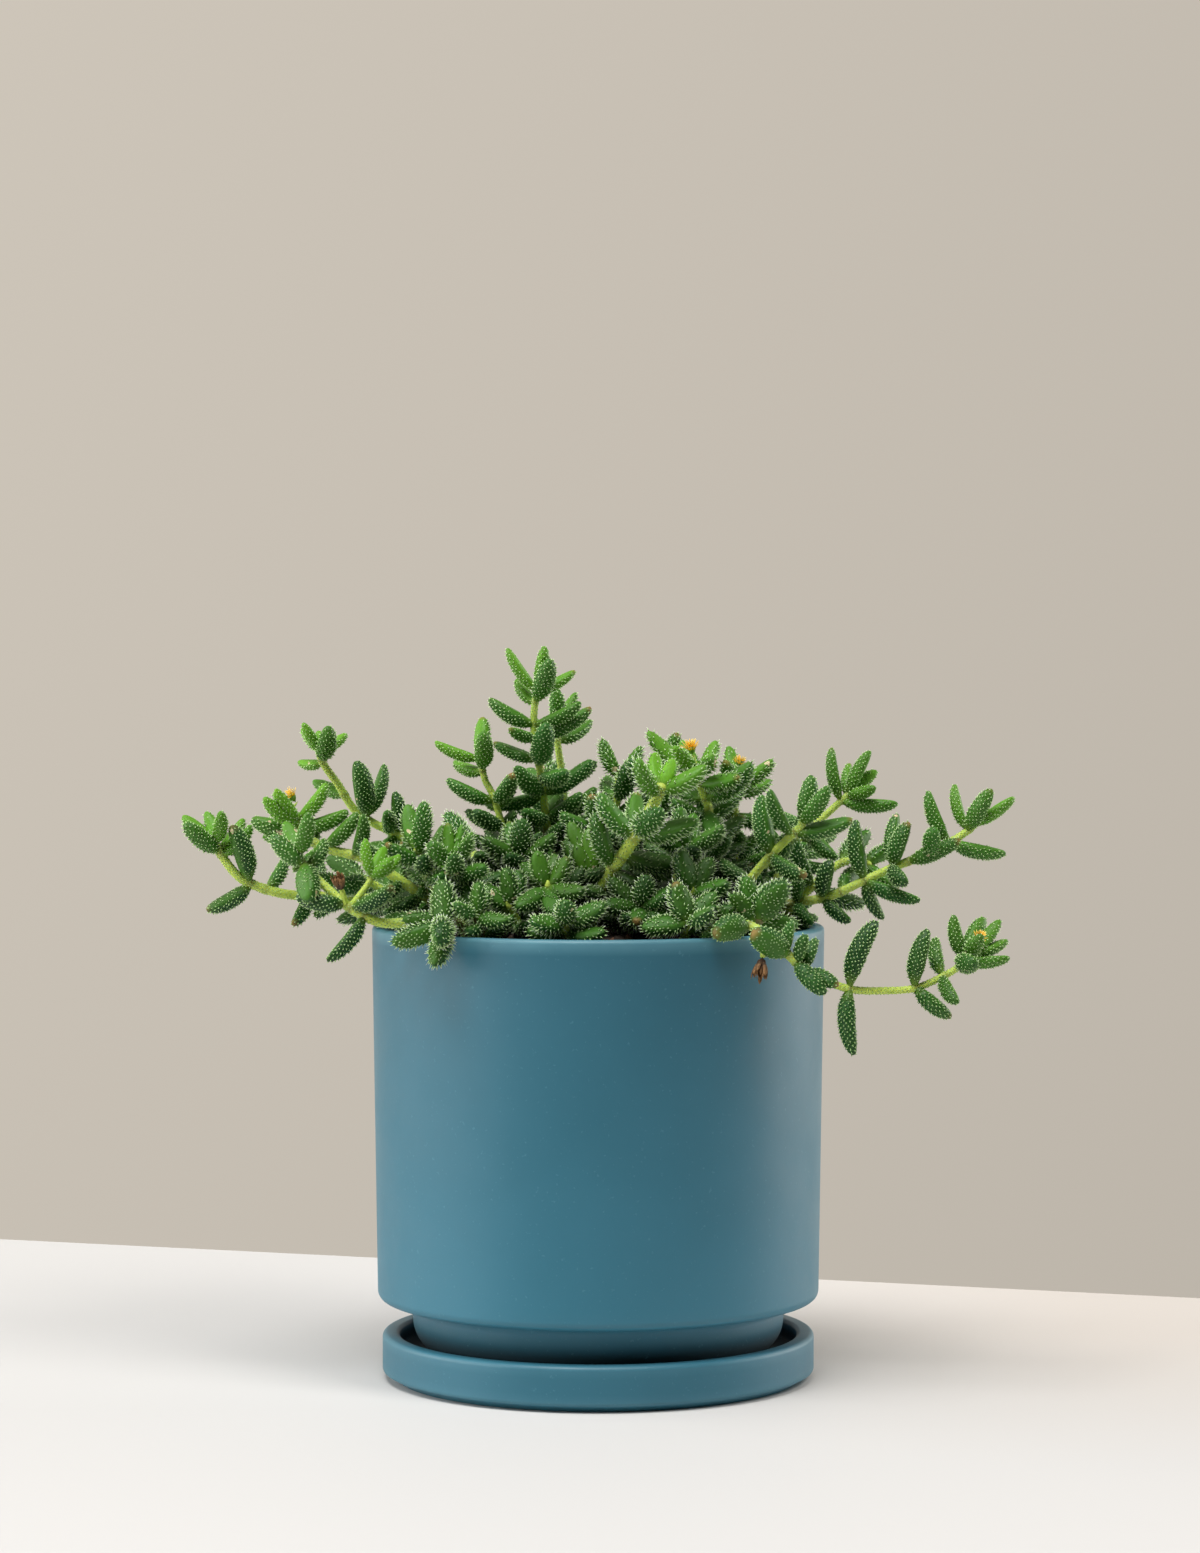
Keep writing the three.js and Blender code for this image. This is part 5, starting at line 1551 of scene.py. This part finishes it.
@dataclass
class Stem:
    """The visible stem of a shoot, with a joint wherever leaves grow from it."""

    shoot: Shoot
    curve: StemCurve
    slimness: float = 0.92
    sides: int = 10
    ring_step: float = 0.8
    sunk: float = 8.7
    swelling: float = 0.16
    end: float = 1.2
    woody: float = 0.85
    bark_ends: Pair = (0.12, 0.42)

    def frame(self, shares: Array) -> tuple[Array, Array, Array]:
        """Direction of the stem and two ways across it, which don't twist.

        The first way across is square to the axis of the room that the stem leans away from most.

        Args:
            shares: shares of the way along.

        Returns:
            the directions and the two ways across.
        """
        heading = self.curve.heading(shares)
        axes = np.eye(3)
        hint = axes[np.argmin(np.abs(heading @ axes).max(axis=0))]
        across = unit(np.cross(hint, heading))
        return heading, across, np.cross(heading, across)

    def joints(self, shares: Array, spread: float) -> Array:
        """1 where leaves grow from the stem, falling off over so many mm.

        Args:
            shares: shares of the way along.
            spread: how many mm.

        Returns:
            a number for each share.
        """
        length = self.curve.length()
        rows = np.array([min(row[0], 1 - LEAF_SUNK / length) for row in self.shoot.rows(self.curve)])
        apart = (shares[:, None] - rows[None, :]) * length / spread
        return np.exp(-(apart**2)).max(axis=1)

    def radius(self, shares: Array) -> Array:
        """Its radius: the shoot's taper, swollen a little at the joints and rounded off at its end.

        Args:
            shares: shares of the way along.

        Returns:
            a radius in mm for each share.
        """
        left = (1 - shares) * self.curve.length()
        cap = np.sqrt(np.clip(1 - (1 - np.clip(left / self.end, 0, 1)) ** 2, 0.02, 1))
        slimness = STOUT_STEMS.get(self.shoot.name, self.slimness)
        return (slimness * self.shoot.radius(shares) + self.swelling * self.joints(shares, 0.8)) * cap

    def bark(self, shares: Array) -> Array:
        """How corky it is: all of an old stem, and the lower third of the others.

        Args:
            shares: shares of the way along.

        Returns:
            a number for each share.
        """
        if self.shoot.name in WOODY_SHOOTS:
            return np.full(len(shares), self.woody)
        if self.shoot.on or self.shoot.name in GREEN_SHOOTS:
            return np.zeros(len(shares))
        return 1 - smooth_step(*self.bark_ends, shares)

    def body(self) -> Surface:
        """Its skin, with a foot that stands in the soil.

        Returns:
            the skin.
        """
        length = self.curve.length()
        shares = np.linspace(0, 1, max(8, round(length / self.ring_step)))
        _, across, beside = self.frame(shares)
        ways = ways_round(across[:, None], beside[:, None], full_turn(self.sides))
        rings = self.curve.at(shares)[:, None] + ways * self.radius(shares)[:, None, None]
        bark, joint = self.bark(shares), self.joints(shares, 0.45)
        if not self.shoot.on:
            rings = np.concatenate([rings[:1] - [0, 0, self.sunk], rings])
            bark, joint = np.concatenate([bark[:1], bark]), np.concatenate([joint[:1], joint])
        start = rings[0].mean(axis=0)
        skin = tube(rings, start, self.curve.at(1.0), finish=1)
        skin.values["bark"] = np.concatenate([np.repeat(bark, self.sides), [bark[0], bark[-1]]])
        skin.values["joint"] = np.concatenate([np.repeat(joint, self.sides), [0, 0]])
        return skin

    def bristles(self, spacing: float, reach: float, random: Random) -> Surface:
        """Its bristles, a golden angle round and an even step along from each to the next.

        Args:
            spacing: how far apart they stand, in mm.
            reach: their mean length in mm.
            random: draws for their unevenness.

        Returns:
            all of them as one surface.
        """
        length = self.curve.length()
        count = int(2 * math.pi * float(self.shoot.radius(0.5)) * length / spacing**2)
        shares = (np.arange(count) + 0.5) / count
        shares = shares[shares < 1 - 1.5 / length]
        angle = np.arange(len(shares)) * GOLDEN_ANGLE + random.normal(0, 0.1, len(shares))
        heading, across, beside = self.frame(shares)
        out = ways_round(across, beside, angle)
        foot = self.curve.at(shares) + out * self.radius(shares)[:, None]
        reaches = reach * (0.7 + 0.5 * random.random(len(shares))) * (0.75 + 0.25 * self.bark(shares))
        return spikes(foot, out, heading, reaches, 0.3, random)


@dataclass
class LeafyShoot:
    """One shoot as one piece: its stems, leaves and bristles."""

    name: str
    stems: list[Stem] = field(default_factory=list)
    leaves: list[Leaf] = field(default_factory=list)
    stalks: list[Surface] = field(default_factory=list)
    leaf_spacing: float = 0.94
    stem_spacing: float = 0.9

    def build(self, finishes: Sequence[Finish], seed: int) -> Piece:
        """Makes the shoot and puts leaf skin, stem skin and bristles on it.

        Args:
            finishes: leaf skin, stem skin and bristle.
            seed: starts this shoot's own draws.

        Returns:
            the piece.
        """
        random = np.random.default_rng(seed)
        surfaces = list(self.stalks)
        for stem in self.stems:
            reach = SHORT_BRISTLES.get(stem.shoot.name, BRISTLES_ELSEWHERE) * STEM_BRISTLES
            hairs = stem.bristles(self.stem_spacing, reach, random)
            hairs.values["fresh"] = 1.0
            surfaces += [stem.body(), hairs]
        for leaf in self.leaves:
            hairs = leaf.bristles(self.leaf_spacing, random)
            hairs.values |= {"fresh": leaf.fresh, "inner": leaf.inner}
            surfaces += [leaf.body(), hairs]
        return make_piece(self.name + "_leaves", surfaces, finishes, Slot.LEAF, self.name)


def flat_blade(foot: Array, control: Array, tip: Array, side: Array, width: float, rings: int = 6) -> Surface:
    """A thin petal: flat four-sided rings along a quadratic curve, with "out" along it.

    Args:
        foot: where it starts.
        control: what it bends towards.
        tip: its point.
        side: the way across it.
        width: its width in mm.
        rings: how many rings it has.

    Returns:
        the petal.
    """
    t = np.arange(1, rings + 1) / (rings + 1)
    line = ((1 - t) ** 2)[:, None] * foot + (2 * t * (1 - t))[:, None] * control + (t * t)[:, None] * tip
    heading = unit((1 - t)[:, None] * (control - foot) + t[:, None] * (tip - control))
    up = np.cross(heading, side)
    half = width / 2 * np.sqrt(np.clip(1 - np.abs(2 * t**0.8 - 1) ** 2.2, 0, 1))
    corners = [(1, 0), (0, 0.3), (-1, 0), (0, -0.3)]
    rings_of = [line + half[:, None] * (x * side + y * up) for x, y in corners]
    blade = tube(np.stack(rings_of, axis=1), foot, tip)
    blade.values["out"] = np.concatenate([np.repeat(t, 4), [0, 1]])
    return blade


@dataclass
class Flower:
    """A small many-petalled flower, or a withered one, at the end of its stalk."""

    name: str
    start: Array
    axis: Array
    length: float
    withered: bool
    sepals: int = 5
    cup_sides: int = 20

    def balls(self) -> Array:
        """Balls that fill its solid.

        Returns:
            the balls, [x, y, z, radius].
        """
        shares = np.array([0.3, 0.6, 0.9])
        places = self.start + self.axis * (self.length * shares)[:, None]
        return np.concatenate([places, (1 + shares * 1.6)[:, None]], axis=1)

    def cup(self, radius: float, top: float) -> Surface:
        """Its cup: a small urn, round below, with a fold for each sepal.

        Args:
            radius: its radius in mm.
            top: its height in mm.

        Returns:
            the cup.
        """
        across = square_to(self.axis)
        beside = np.cross(self.axis, across)
        share = np.linspace(0.04, 1, 9)
        angle = full_turn(self.cup_sides)
        urn = radius * np.sin(np.clip(share * 2.2, 0, math.pi * 0.72)) * (1 - 0.15 * share)
        folds = 1 + 0.1 * np.cos(self.sepals * angle)[None, :] * share[:, None]
        out = ways_round(across, beside, angle) * (urn[:, None] * folds)[..., None]
        rings = self.start + self.axis * (share * top)[:, None, None] + out
        skin = tube(rings, self.start - self.axis * CLEAR, self.start + self.axis * top * 0.8, finish=1)
        skin.values = {"fresh": 0.5, "out": 0.2}
        return skin

    def whorl(
        self, random: Random, count: int, spread: float, rise: float, width: float, curl: float
    ) -> list[Surface]:
        """A ring of petals round the axis.

        Args:
            random: draws for their unevenness.
            count: how many.
            spread: how far their tips lean out, as a share of the flower's length.
            rise: how high their tips stand, likewise.
            width: their width in mm.
            curl: how far their middles bend outward, likewise.

        Returns:
            the petals.
        """
        across = square_to(self.axis)
        foot = self.start + self.axis * self.length * 0.15
        petals = []
        for i in range(count):
            turn = (i + 0.5 * random.random()) * 2 * math.pi / count
            out = turned_about(across, self.axis, turn)
            uneven = 0.85 + 0.3 * random.random()
            lean = spread * (0.85 + 0.3 * random.random())
            tip = foot + (self.axis * rise * uneven + out * lean) * self.length
            control = foot + (self.axis * rise * 0.45 + out * curl) * self.length
            petals.append(flat_blade(foot + out * 0.3, control, tip, np.cross(out, self.axis), width))
        return petals

    def whorls(self, rows: Rows, random: Random) -> list[Surface]:
        """The petals of several whorls."""
        return [petal for row in rows for petal in self.whorl(random, *row)]

    def build(self, fresh: Finish, dried: Finish, skin: Finish) -> Piece:
        """Makes the flower: two whorls of narrow petals in a green cup, or a shrivelled brown head.

        Args:
            fresh: the petals' finish.
            dried: the finish of a withered one.
            skin: the finish of the cup.

        Returns:
            the piece.
        """
        random = np.random.default_rng(len(self.name) * 7 + int(self.length * 10))
        if self.withered:
            parts = [self.cup(*WITHERED_CUP), *self.whorls(WITHERED_WHORLS, random)]
            return make_piece(self.name + "_head", parts, [dried, dried], Slot.DRIED, self.name)
        parts = [self.cup(*FRESH_CUP), *self.whorls(FRESH_WHORLS, random)]
        stamens = self.whorls(STAMEN_WHORLS, random)
        for stamen in stamens:
            stamen.values["out"] = stamen.values["out"] * 0.2
        return make_piece(self.name + "_petals", parts + stamens, [fresh, skin], Slot.PETAL, self.name)


@dataclass
class Plant:
    """All that grows in the pot, placed by the same rule as the solids."""

    room: Room = field(default_factory=Room)
    pieces: dict[str, LeafyShoot] = field(default_factory=dict)
    flowers: list[Flower] = field(default_factory=list)

    def lay_out(self) -> None:
        """Places every stem, then every flower, then every leaf that finds room."""
        draw = draws(BACK_SEED)
        shoots = [Shoot(*row) for row in SHOOTS] + back_shoots(draw)
        shoots += low_shoots([shoot.root for shoot in shoots], draw)
        curves = {shoot.name: shoot.curve() for shoot in shoots}
        for shoot in shoots:
            curve = curves[shoot.name]
            balls = shoot.stem_balls(curve)
            shoot.grows = shoot.on is not None or self.is_free_stem(shoot, balls)
            if shoot.grows:
                self.room.claim(shoot.owner, balls)
                self.pieces.setdefault(shoot.owner, LeafyShoot(shoot.owner)).stems.append(Stem(shoot, curve))
        for row in BLOOMS:
            self.add_flower(row, curves[row[1]])
        random = np.random.default_rng(LOOKS_SEED)
        growing = [shoot for shoot in shoots if shoot.grows]
        for shoot in growing:
            self.add_leaves(shoot, curves[shoot.name], random)
        for shoot in growing:
            self.add_filling(shoot, curves[shoot.name], random)

    def is_free_stem(self, shoot: Shoot, balls: Array) -> bool:
        """True if a stem clears the other stems and, above the soil's reach, the rim.

        Args:
            shoot: the shoot.
            balls: balls that fill its stem.

        Returns:
            True if it is free.
        """
        above = balls[:, 2] >= SOIL.crown + 4
        clear = POT.gap(SOIL, balls[:, :3]) > balls[:, 3] + CLEAR
        return bool((clear | ~above).all()) and self.room.leaves_room(shoot.name, balls)

    def add_flower(self, row: Sequence, curve: StemCurve) -> None:
        """Places one flower on its stalk.

        Args:
            row: its row of BLOOMS.
            curve: the line of the stem that it grows on.
        """
        name, shoot, at, *reach, length = row
        foot, reach = curve.at(float(at)), np.array(reach, float)
        axis = unit(reach)
        flower = Flower(name, foot + reach + axis * CLEAR, axis, length, name.startswith("spent"))
        self.room.claim(name, flower.balls())
        shift = np.array(HEAD_SHIFTS.get(name, (0, 0, 0)), float)
        flower.start, reach = flower.start + shift, reach + shift
        self.flowers.append(flower)
        across = square_to(axis)
        beside = np.cross(axis, across)
        share = np.linspace(0, 1, 5)
        ways = ways_round(across, beside, full_turn(8))
        rings = foot + share[:, None, None] * reach + ways * (0.75 - 0.1 * share)[:, None, None]
        self.pieces[shoot].stalks.append(tube(rings, foot, foot + reach, finish=1))

    def add_leaves(self, shoot: Shoot, curve: StemCurve, random: Random) -> None:
        """Places a shoot's leaves where there is room and settles how each looks.

        Args:
            shoot: the shoot.
            curve: the line of its stem.
            random: draws for their looks.
        """
        tip_fresh = FRESH_TIPS.get(shoot.name, FRESH_ELSEWHERE)
        bristle = SHORT_BRISTLES.get(shoot.name, BRISTLES_ELSEWHERE)
        for row in shoot.rows(curve):
            leaf = self.place_leaf(shoot.owner, curve, row)
            looks = random.random(8)
            if leaf is None:
                continue
            young = float(smooth_step(*YOUNG_WIDTHS, leaf.width))
            near_tip = float(smooth_step(0.6, 1.0, leaf.at))
            leaf.fresh = tip_fresh * (0.25 + 0.75 * near_tip) * (0.45 + 0.75 * young)
            leaf.fresh = min(leaf.fresh + 0.1 * looks[0], 1.0)
            leaf.tone = 1.4 * looks[1] - 0.6
            leaf.age_by_place()
            leaf.channel = 0.25 + 0.6 * looks[2]
            leaf.early = 0.82 + 0.2 * looks[3]
            leaf.sway = 0.9 * (looks[4] - 0.5)
            leaf.scar = 0.8 * looks[5] if looks[6] > SCARRED_FROM else 0.0
            leaf.bristle = bristle * (0.85 + 0.3 * looks[7]) * (0.55 + 0.45 * min(leaf.width / 5, 1))
            if shoot.name in HAIRY_SHOOTS:
                leaf.bare = HAIRY_BARE
            self.pieces[shoot.owner].leaves.append(leaf)

    def add_filling(self, shoot: Shoot, curve: StemCurve, random: Random) -> None:
        """Adds short leaves low on a shoot's stem, four ways round at each station, where one clears all.

        Args:
            shoot: the shoot.
            curve: the line of its stem.
            random: draws for their directions and looks.
        """
        length = curve.length()
        bristle = SHORT_BRISTLES.get(shoot.name, BRISTLES_ELSEWHERE)
        highest = BARE_ABOVE.get(shoot.name, 1)
        for number, at in enumerate(np.arange(FILL_FIRST, length - LEAF_SUNK, FILL_STEP) / length):
            middle, growth = curve.middle(at), curve.heading(at)
            inside = math.hypot(*middle[:2]) < FILL_AWAY and middle[2] < FILL_TOP and at < highest
            first = square_to(growth)
            for quarter in range(4):
                looks = random.random(7)
                across = turned_about(first, growth, (quarter + 0.5 * number + 0.4 * looks[0]) * math.pi / 2)
                opened = 1.3 - 0.55 * at + 0.3 * (looks[1] - 0.5)
                reach = (growth * math.cos(opened) + across * math.sin(opened)) * (10 + 4 * looks[2])
                width = 3.9 + 1.1 * looks[3]
                leaf = self.filling_leaf(shoot.owner, middle, growth, reach, width, at) if inside else None
                if leaf is None:
                    continue
                small = float(smooth_step(*YOUNG_FILL_WIDTHS, leaf.width))
                leaf.fresh = min(0.06 + 0.22 * looks[4] + 0.5 * small * looks[5], 1.0)
                leaf.tone = 1.4 * looks[6] - 0.7
                leaf.age_by_place()
                leaf.bristle = bristle * (0.6 + 0.35 * min(leaf.width / 4.5, 1))
                leaf.rings, leaf.sides = 9, 10
                self.pieces[shoot.owner].leaves.append(leaf)

    def fits(self, owner: str, balls: Array, space: float) -> bool:
        """True if a leaf's balls clear the pot, the soil and every piece but its owner by so many mm."""
        clear = POT.gap(SOIL, balls[:, :3]) > balls[:, 3] + space
        return bool(clear.all()) and self.room.leaves_room(owner, balls, space)

    def filling_leaf(
        self, owner: str, middle: Array, growth: Array, reach: Array, width: float, at: float
    ) -> Leaf | None:
        """A short leaf that clears all that is there, at the largest size that does, or None.

        Args:
            owner: the piece that it is part of.
            middle: the middle of its stem.
            growth: the way that the stem grows.
            reach: from there to its tip.
            width: its width.
            at: share of the way up the stem.

        Returns:
            the leaf, or None.
        """
        for size in FILL_SIZES:
            leaf = leaf_at(middle, growth, reach * size, width * math.sqrt(size), at)
            balls = leaf.balls()
            apart = self.room.leaves_room(None, balls[FILL_ROOT_BALLS:], FILL_SPACE)
            if apart and self.fits(owner, balls, FILL_SPACE):
                self.room.claim(owner, balls)
                return leaf
        return None

    def place_leaf(self, owner: str, curve: StemCurve, row: Sequence[float]) -> Leaf | None:
        """The leaf of a row, bent clear of its neighbours, or None where there is no room for it.

        Args:
            owner: the piece that it is part of.
            curve: the line of its stem.
            row: share of the way up the stem, reach to its tip, width.

        Returns:
            the leaf, or None.
        """
        at, *reach, width = row
        wanted = np.array(reach, float)
        at = min(at, 1 - LEAF_SUNK / curve.length())
        middle, growth = curve.middle(at), curve.heading(at)
        length = float(np.linalg.norm(wanted))
        for size in SIZES_TRIED:
            for shift in TIP_SHIFTS:
                moved = wanted + np.array(shift, float)
                moved = moved / np.linalg.norm(moved) * length
                leaf = leaf_at(middle, growth, moved * size, width * size, at)
                balls = leaf.balls()
                if self.fits(owner, balls, SPACE):
                    self.room.claim(owner, balls)
                    return leaf
        return None

    def build(self, finishes: dict[str, Finish]) -> None:
        """Makes every shoot and flower.

        Args:
            finishes: each finish by its name.
        """
        skins = [finishes["leaf"], finishes["stem"], finishes["bristle"]]
        for number, piece in enumerate(self.pieces.values()):
            piece.build(skins, PIECE_SEED + number)
        for flower in self.flowers:
            flower.build(finishes["petal"], finishes["dried"], finishes["leaf"])


def leaf_at(middle: Array, growth: Array, reach: Array, width: float, at: float) -> Leaf:
    """The leaf from a stem's middle with this reach, bowed away from the way that the stem grows.

    Args:
        middle: the middle of its stem.
        growth: the way that the stem grows.
        reach: from there to its tip.
        width: its width.
        at: share of the way up the stem.

    Returns:
        the leaf.
    """
    length = float(np.linalg.norm(reach))
    foot = middle - reach * (LEAF_BEHIND / length)
    away = growth - reach * (growth @ reach / (reach @ reach))
    control = foot + reach * 0.5 - away * (LEAF_BOW * length)
    return Leaf(foot, control, middle + reach, growth, width, at)


class Table(Enum):
    """What a lamp does with the table top."""

    LIT_TOO = ""
    LEFT_OUT = "EXCLUDE"
    LIT_ALONE = "INCLUDE"


@dataclass(frozen=True)
class Lamp:
    """A soft rectangular lamp: its place and size in metres, its power in watts and its colour."""

    name: str
    place: Triple
    wide: float
    high: float
    power: float
    colour: Colour
    on_table: Table = Table.LIT_TOO

    def build(self, aim: Vector, table: Piece) -> Piece:
        """Puts up the lamp.

        Args:
            aim: what it points at, in metres.
            table: the table top.

        Returns:
            the lamp.
        """
        light = bpy.data.lights.new(self.name, "AREA")
        light.shape, light.size, light.size_y = "RECTANGLE", self.wide, self.high
        light.energy, light.color = self.power, self.colour
        lamp = bpy.data.objects.new(self.name, light)
        bpy.context.scene.collection.objects.link(lamp)
        lamp.location = self.place
        lamp.rotation_euler = (aim - Vector(self.place)).to_track_quat("-Z", "Y").to_euler()
        if self.on_table is not Table.LIT_TOO:
            group = bpy.data.collections.new("table_for_" + self.name)
            group.objects.link(table)
            group.collection_objects[0].light_linking.link_state = self.on_table.value
            lamp.light_linking.receiver_collection = group
        return lamp


# A wide key light on the left, a fill on the right, one from above and one for the table alone.
LAMPS = (
    Lamp("key_light", (-1.45, -0.15, 0.6), 1.8, 1.1, 22, (1.0, 0.98, 0.95)),
    Lamp("fill_light", (1.3, 0.5, 0.4), 1.2, 0.9, 14, (1.0, 0.98, 0.96), Table.LEFT_OUT),
    Lamp("top_light", (-0.3, -0.9, 2.2), 1.1, 1.1, 54, (1.0, 0.99, 0.98)),
    Lamp("table_light", (1.4, -1.3, 1.8), 1.0, 1.0, 38, (1.0, 0.95, 0.90), Table.LIT_ALONE),
)


@dataclass(frozen=True)
class Studio:
    """The pale table, warm grey surroundings, soft lights and the camera of the photograph's view.

    The camera's place and the table's sizes are in mm, and table_far is where its far edge crosses the
    middle and how much it slants. The lamps point at aim, in metres.
    """

    camera_place: Triple = (0.48, -1064.9, 189.3)
    camera_tilt: float = 0.028
    lens: float = 93.03
    surroundings: Colour = (0.575, 0.525, 0.455)
    table: Colour = (0.612, 0.610, 0.606)
    table_front: Colour = (0.545, 0.543, 0.540)
    table_right: Colour = (0.605, 0.567, 0.53)
    front_share: float = 0.12
    wall_share: float = 1.38
    soft_share: float = 0.3
    wall_middle: float = 0.974
    wall_slope: Triple = (-0.36, 0.0, 0.23)
    wall_ends: Pair = (-0.6, 0.7)
    aim: Triple = (0, 0, 0.08)
    table_half: float = 1500
    table_near: float = -1000
    table_far: Pair = (187.5, -0.327)
    table_thick: float = 25

    def set_camera(self) -> None:
        """Puts the camera at the photograph's viewing angle."""
        camera = bpy.data.objects.new("camera", bpy.data.cameras.new("camera"))
        bpy.context.scene.collection.objects.link(camera)
        camera.location = Vector(self.camera_place) * MM
        camera.rotation_euler = (math.pi / 2 - self.camera_tilt, 0, 0)
        camera.data.lens = self.lens
        camera.data.sensor_width = 36
        camera.data.clip_start, camera.data.clip_end = 0.01, 50
        bpy.context.scene.camera = camera

    def set_table(self) -> Piece:
        """Lays a pale table top under the saucer, with its far edge where the photograph has it.

        Returns:
            the table.
        """
        half, (far, slant) = self.table_half, self.table_far
        corners = [
            (-half, self.table_near), (half, self.table_near),
            (half, far + slant * half), (-half, far - slant * half),
        ]
        mesh = bpy.data.meshes.new("table_top")
        points = [(x * MM, y * MM, z * MM) for z in (0, -self.table_thick) for x, y in corners]
        faces = [(0, 1, 2, 3), (7, 6, 5, 4)] + [(i, i + 4, (i + 1) % 4 + 4, (i + 1) % 4) for i in range(4)]
        mesh.from_pydata(points, [], faces)
        table = bpy.data.objects.new("table_top", mesh)
        bpy.context.scene.collection.objects.link(table)
        tree = Tree("pale_table")
        shade = tree.span(tree.noise(3, 3), 0.3, 0.7)
        colour = tree.mix(shade, self.table, tuple(c * 0.985 for c in self.table))
        parts = tree.add("SeparateXYZ", {0: tree.place()}).outputs
        # painted shade: the table's front is darker, evening out the stronger light there
        colour = tree.mix(tree.span(parts["Y"], 0.13, -0.05), colour, self.table_front)
        # painted shadow: a warm, darker patch on the table to the right of and behind the saucer
        right, back = tree.span(parts["X"], -0.02, 0.14), tree.span(parts["Y"], -0.12, 0.06)
        colour = tree.mix(tree.maths("MULTIPLY", right, back), colour, self.table_right)
        mesh.materials.append(tree.finished({"Base Color": colour, "Roughness": 0.7}))
        return table

    def set_surroundings(self) -> None:
        """Sets the wall's warm grey as the world, bright behind the pot and dim on the camera's side."""
        tree = Tree("surroundings", world=True)
        way = tree.place()
        along = tree.add("SeparateXYZ", {0: way}).outputs["Y"]
        behind = tree.span(along, *self.wall_ends, self.front_share, self.wall_share)
        slope = tree.add("VectorMath", {0: way, 1: self.wall_slope}, operation="DOT_PRODUCT").outputs["Value"]
        across = tree.maths("ADD", slope, self.wall_middle)
        soft = tree.maths("MULTIPLY", behind, self.soft_share)
        ray = tree.add("LightPath", {}).outputs
        lit = tree.add("Mix", {0: ray["Is Diffuse Ray"], 2: behind, 3: soft}).outputs[0]
        strength = tree.add("Mix", {0: ray["Is Camera Ray"], 2: lit, 3: across}).outputs[0]
        inputs = {"Color": self.surroundings, "Strength": strength}
        bpy.context.scene.world = tree.finished(inputs, "Background")

    def set_lights(self, table: Piece) -> None:
        """Lights the surroundings and puts up the lamps.

        Args:
            table: the table top, which the fill leaves out.
        """
        self.set_surroundings()
        for lamp in LAMPS:
            lamp.build(Vector(self.aim), table)


def main() -> None:
    """Builds the part in order."""
    logging.basicConfig(level=logging.INFO, format="%(message)s")
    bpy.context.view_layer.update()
    finishes = {
        "glaze": Glaze().material(), "soil": PottingSoil().material(), "leaf": LeafSkin().material(),
        "stem": StemSkin().material(), "bristle": Bristle().material(), "petal": Petal().material(),
        "dried": DriedPetal().material(),
    }
    Saucer().build(finishes["glaze"])
    POT.build(finishes["glaze"])
    SOIL.build(finishes["soil"])
    plant = Plant()
    plant.lay_out()
    plant.build(finishes)
    studio = Studio()
    studio.set_lights(studio.set_table())
    studio.set_camera()
    bpy.context.scene.view_settings.view_transform = "Standard"


if __name__ == "__main__":
    main()
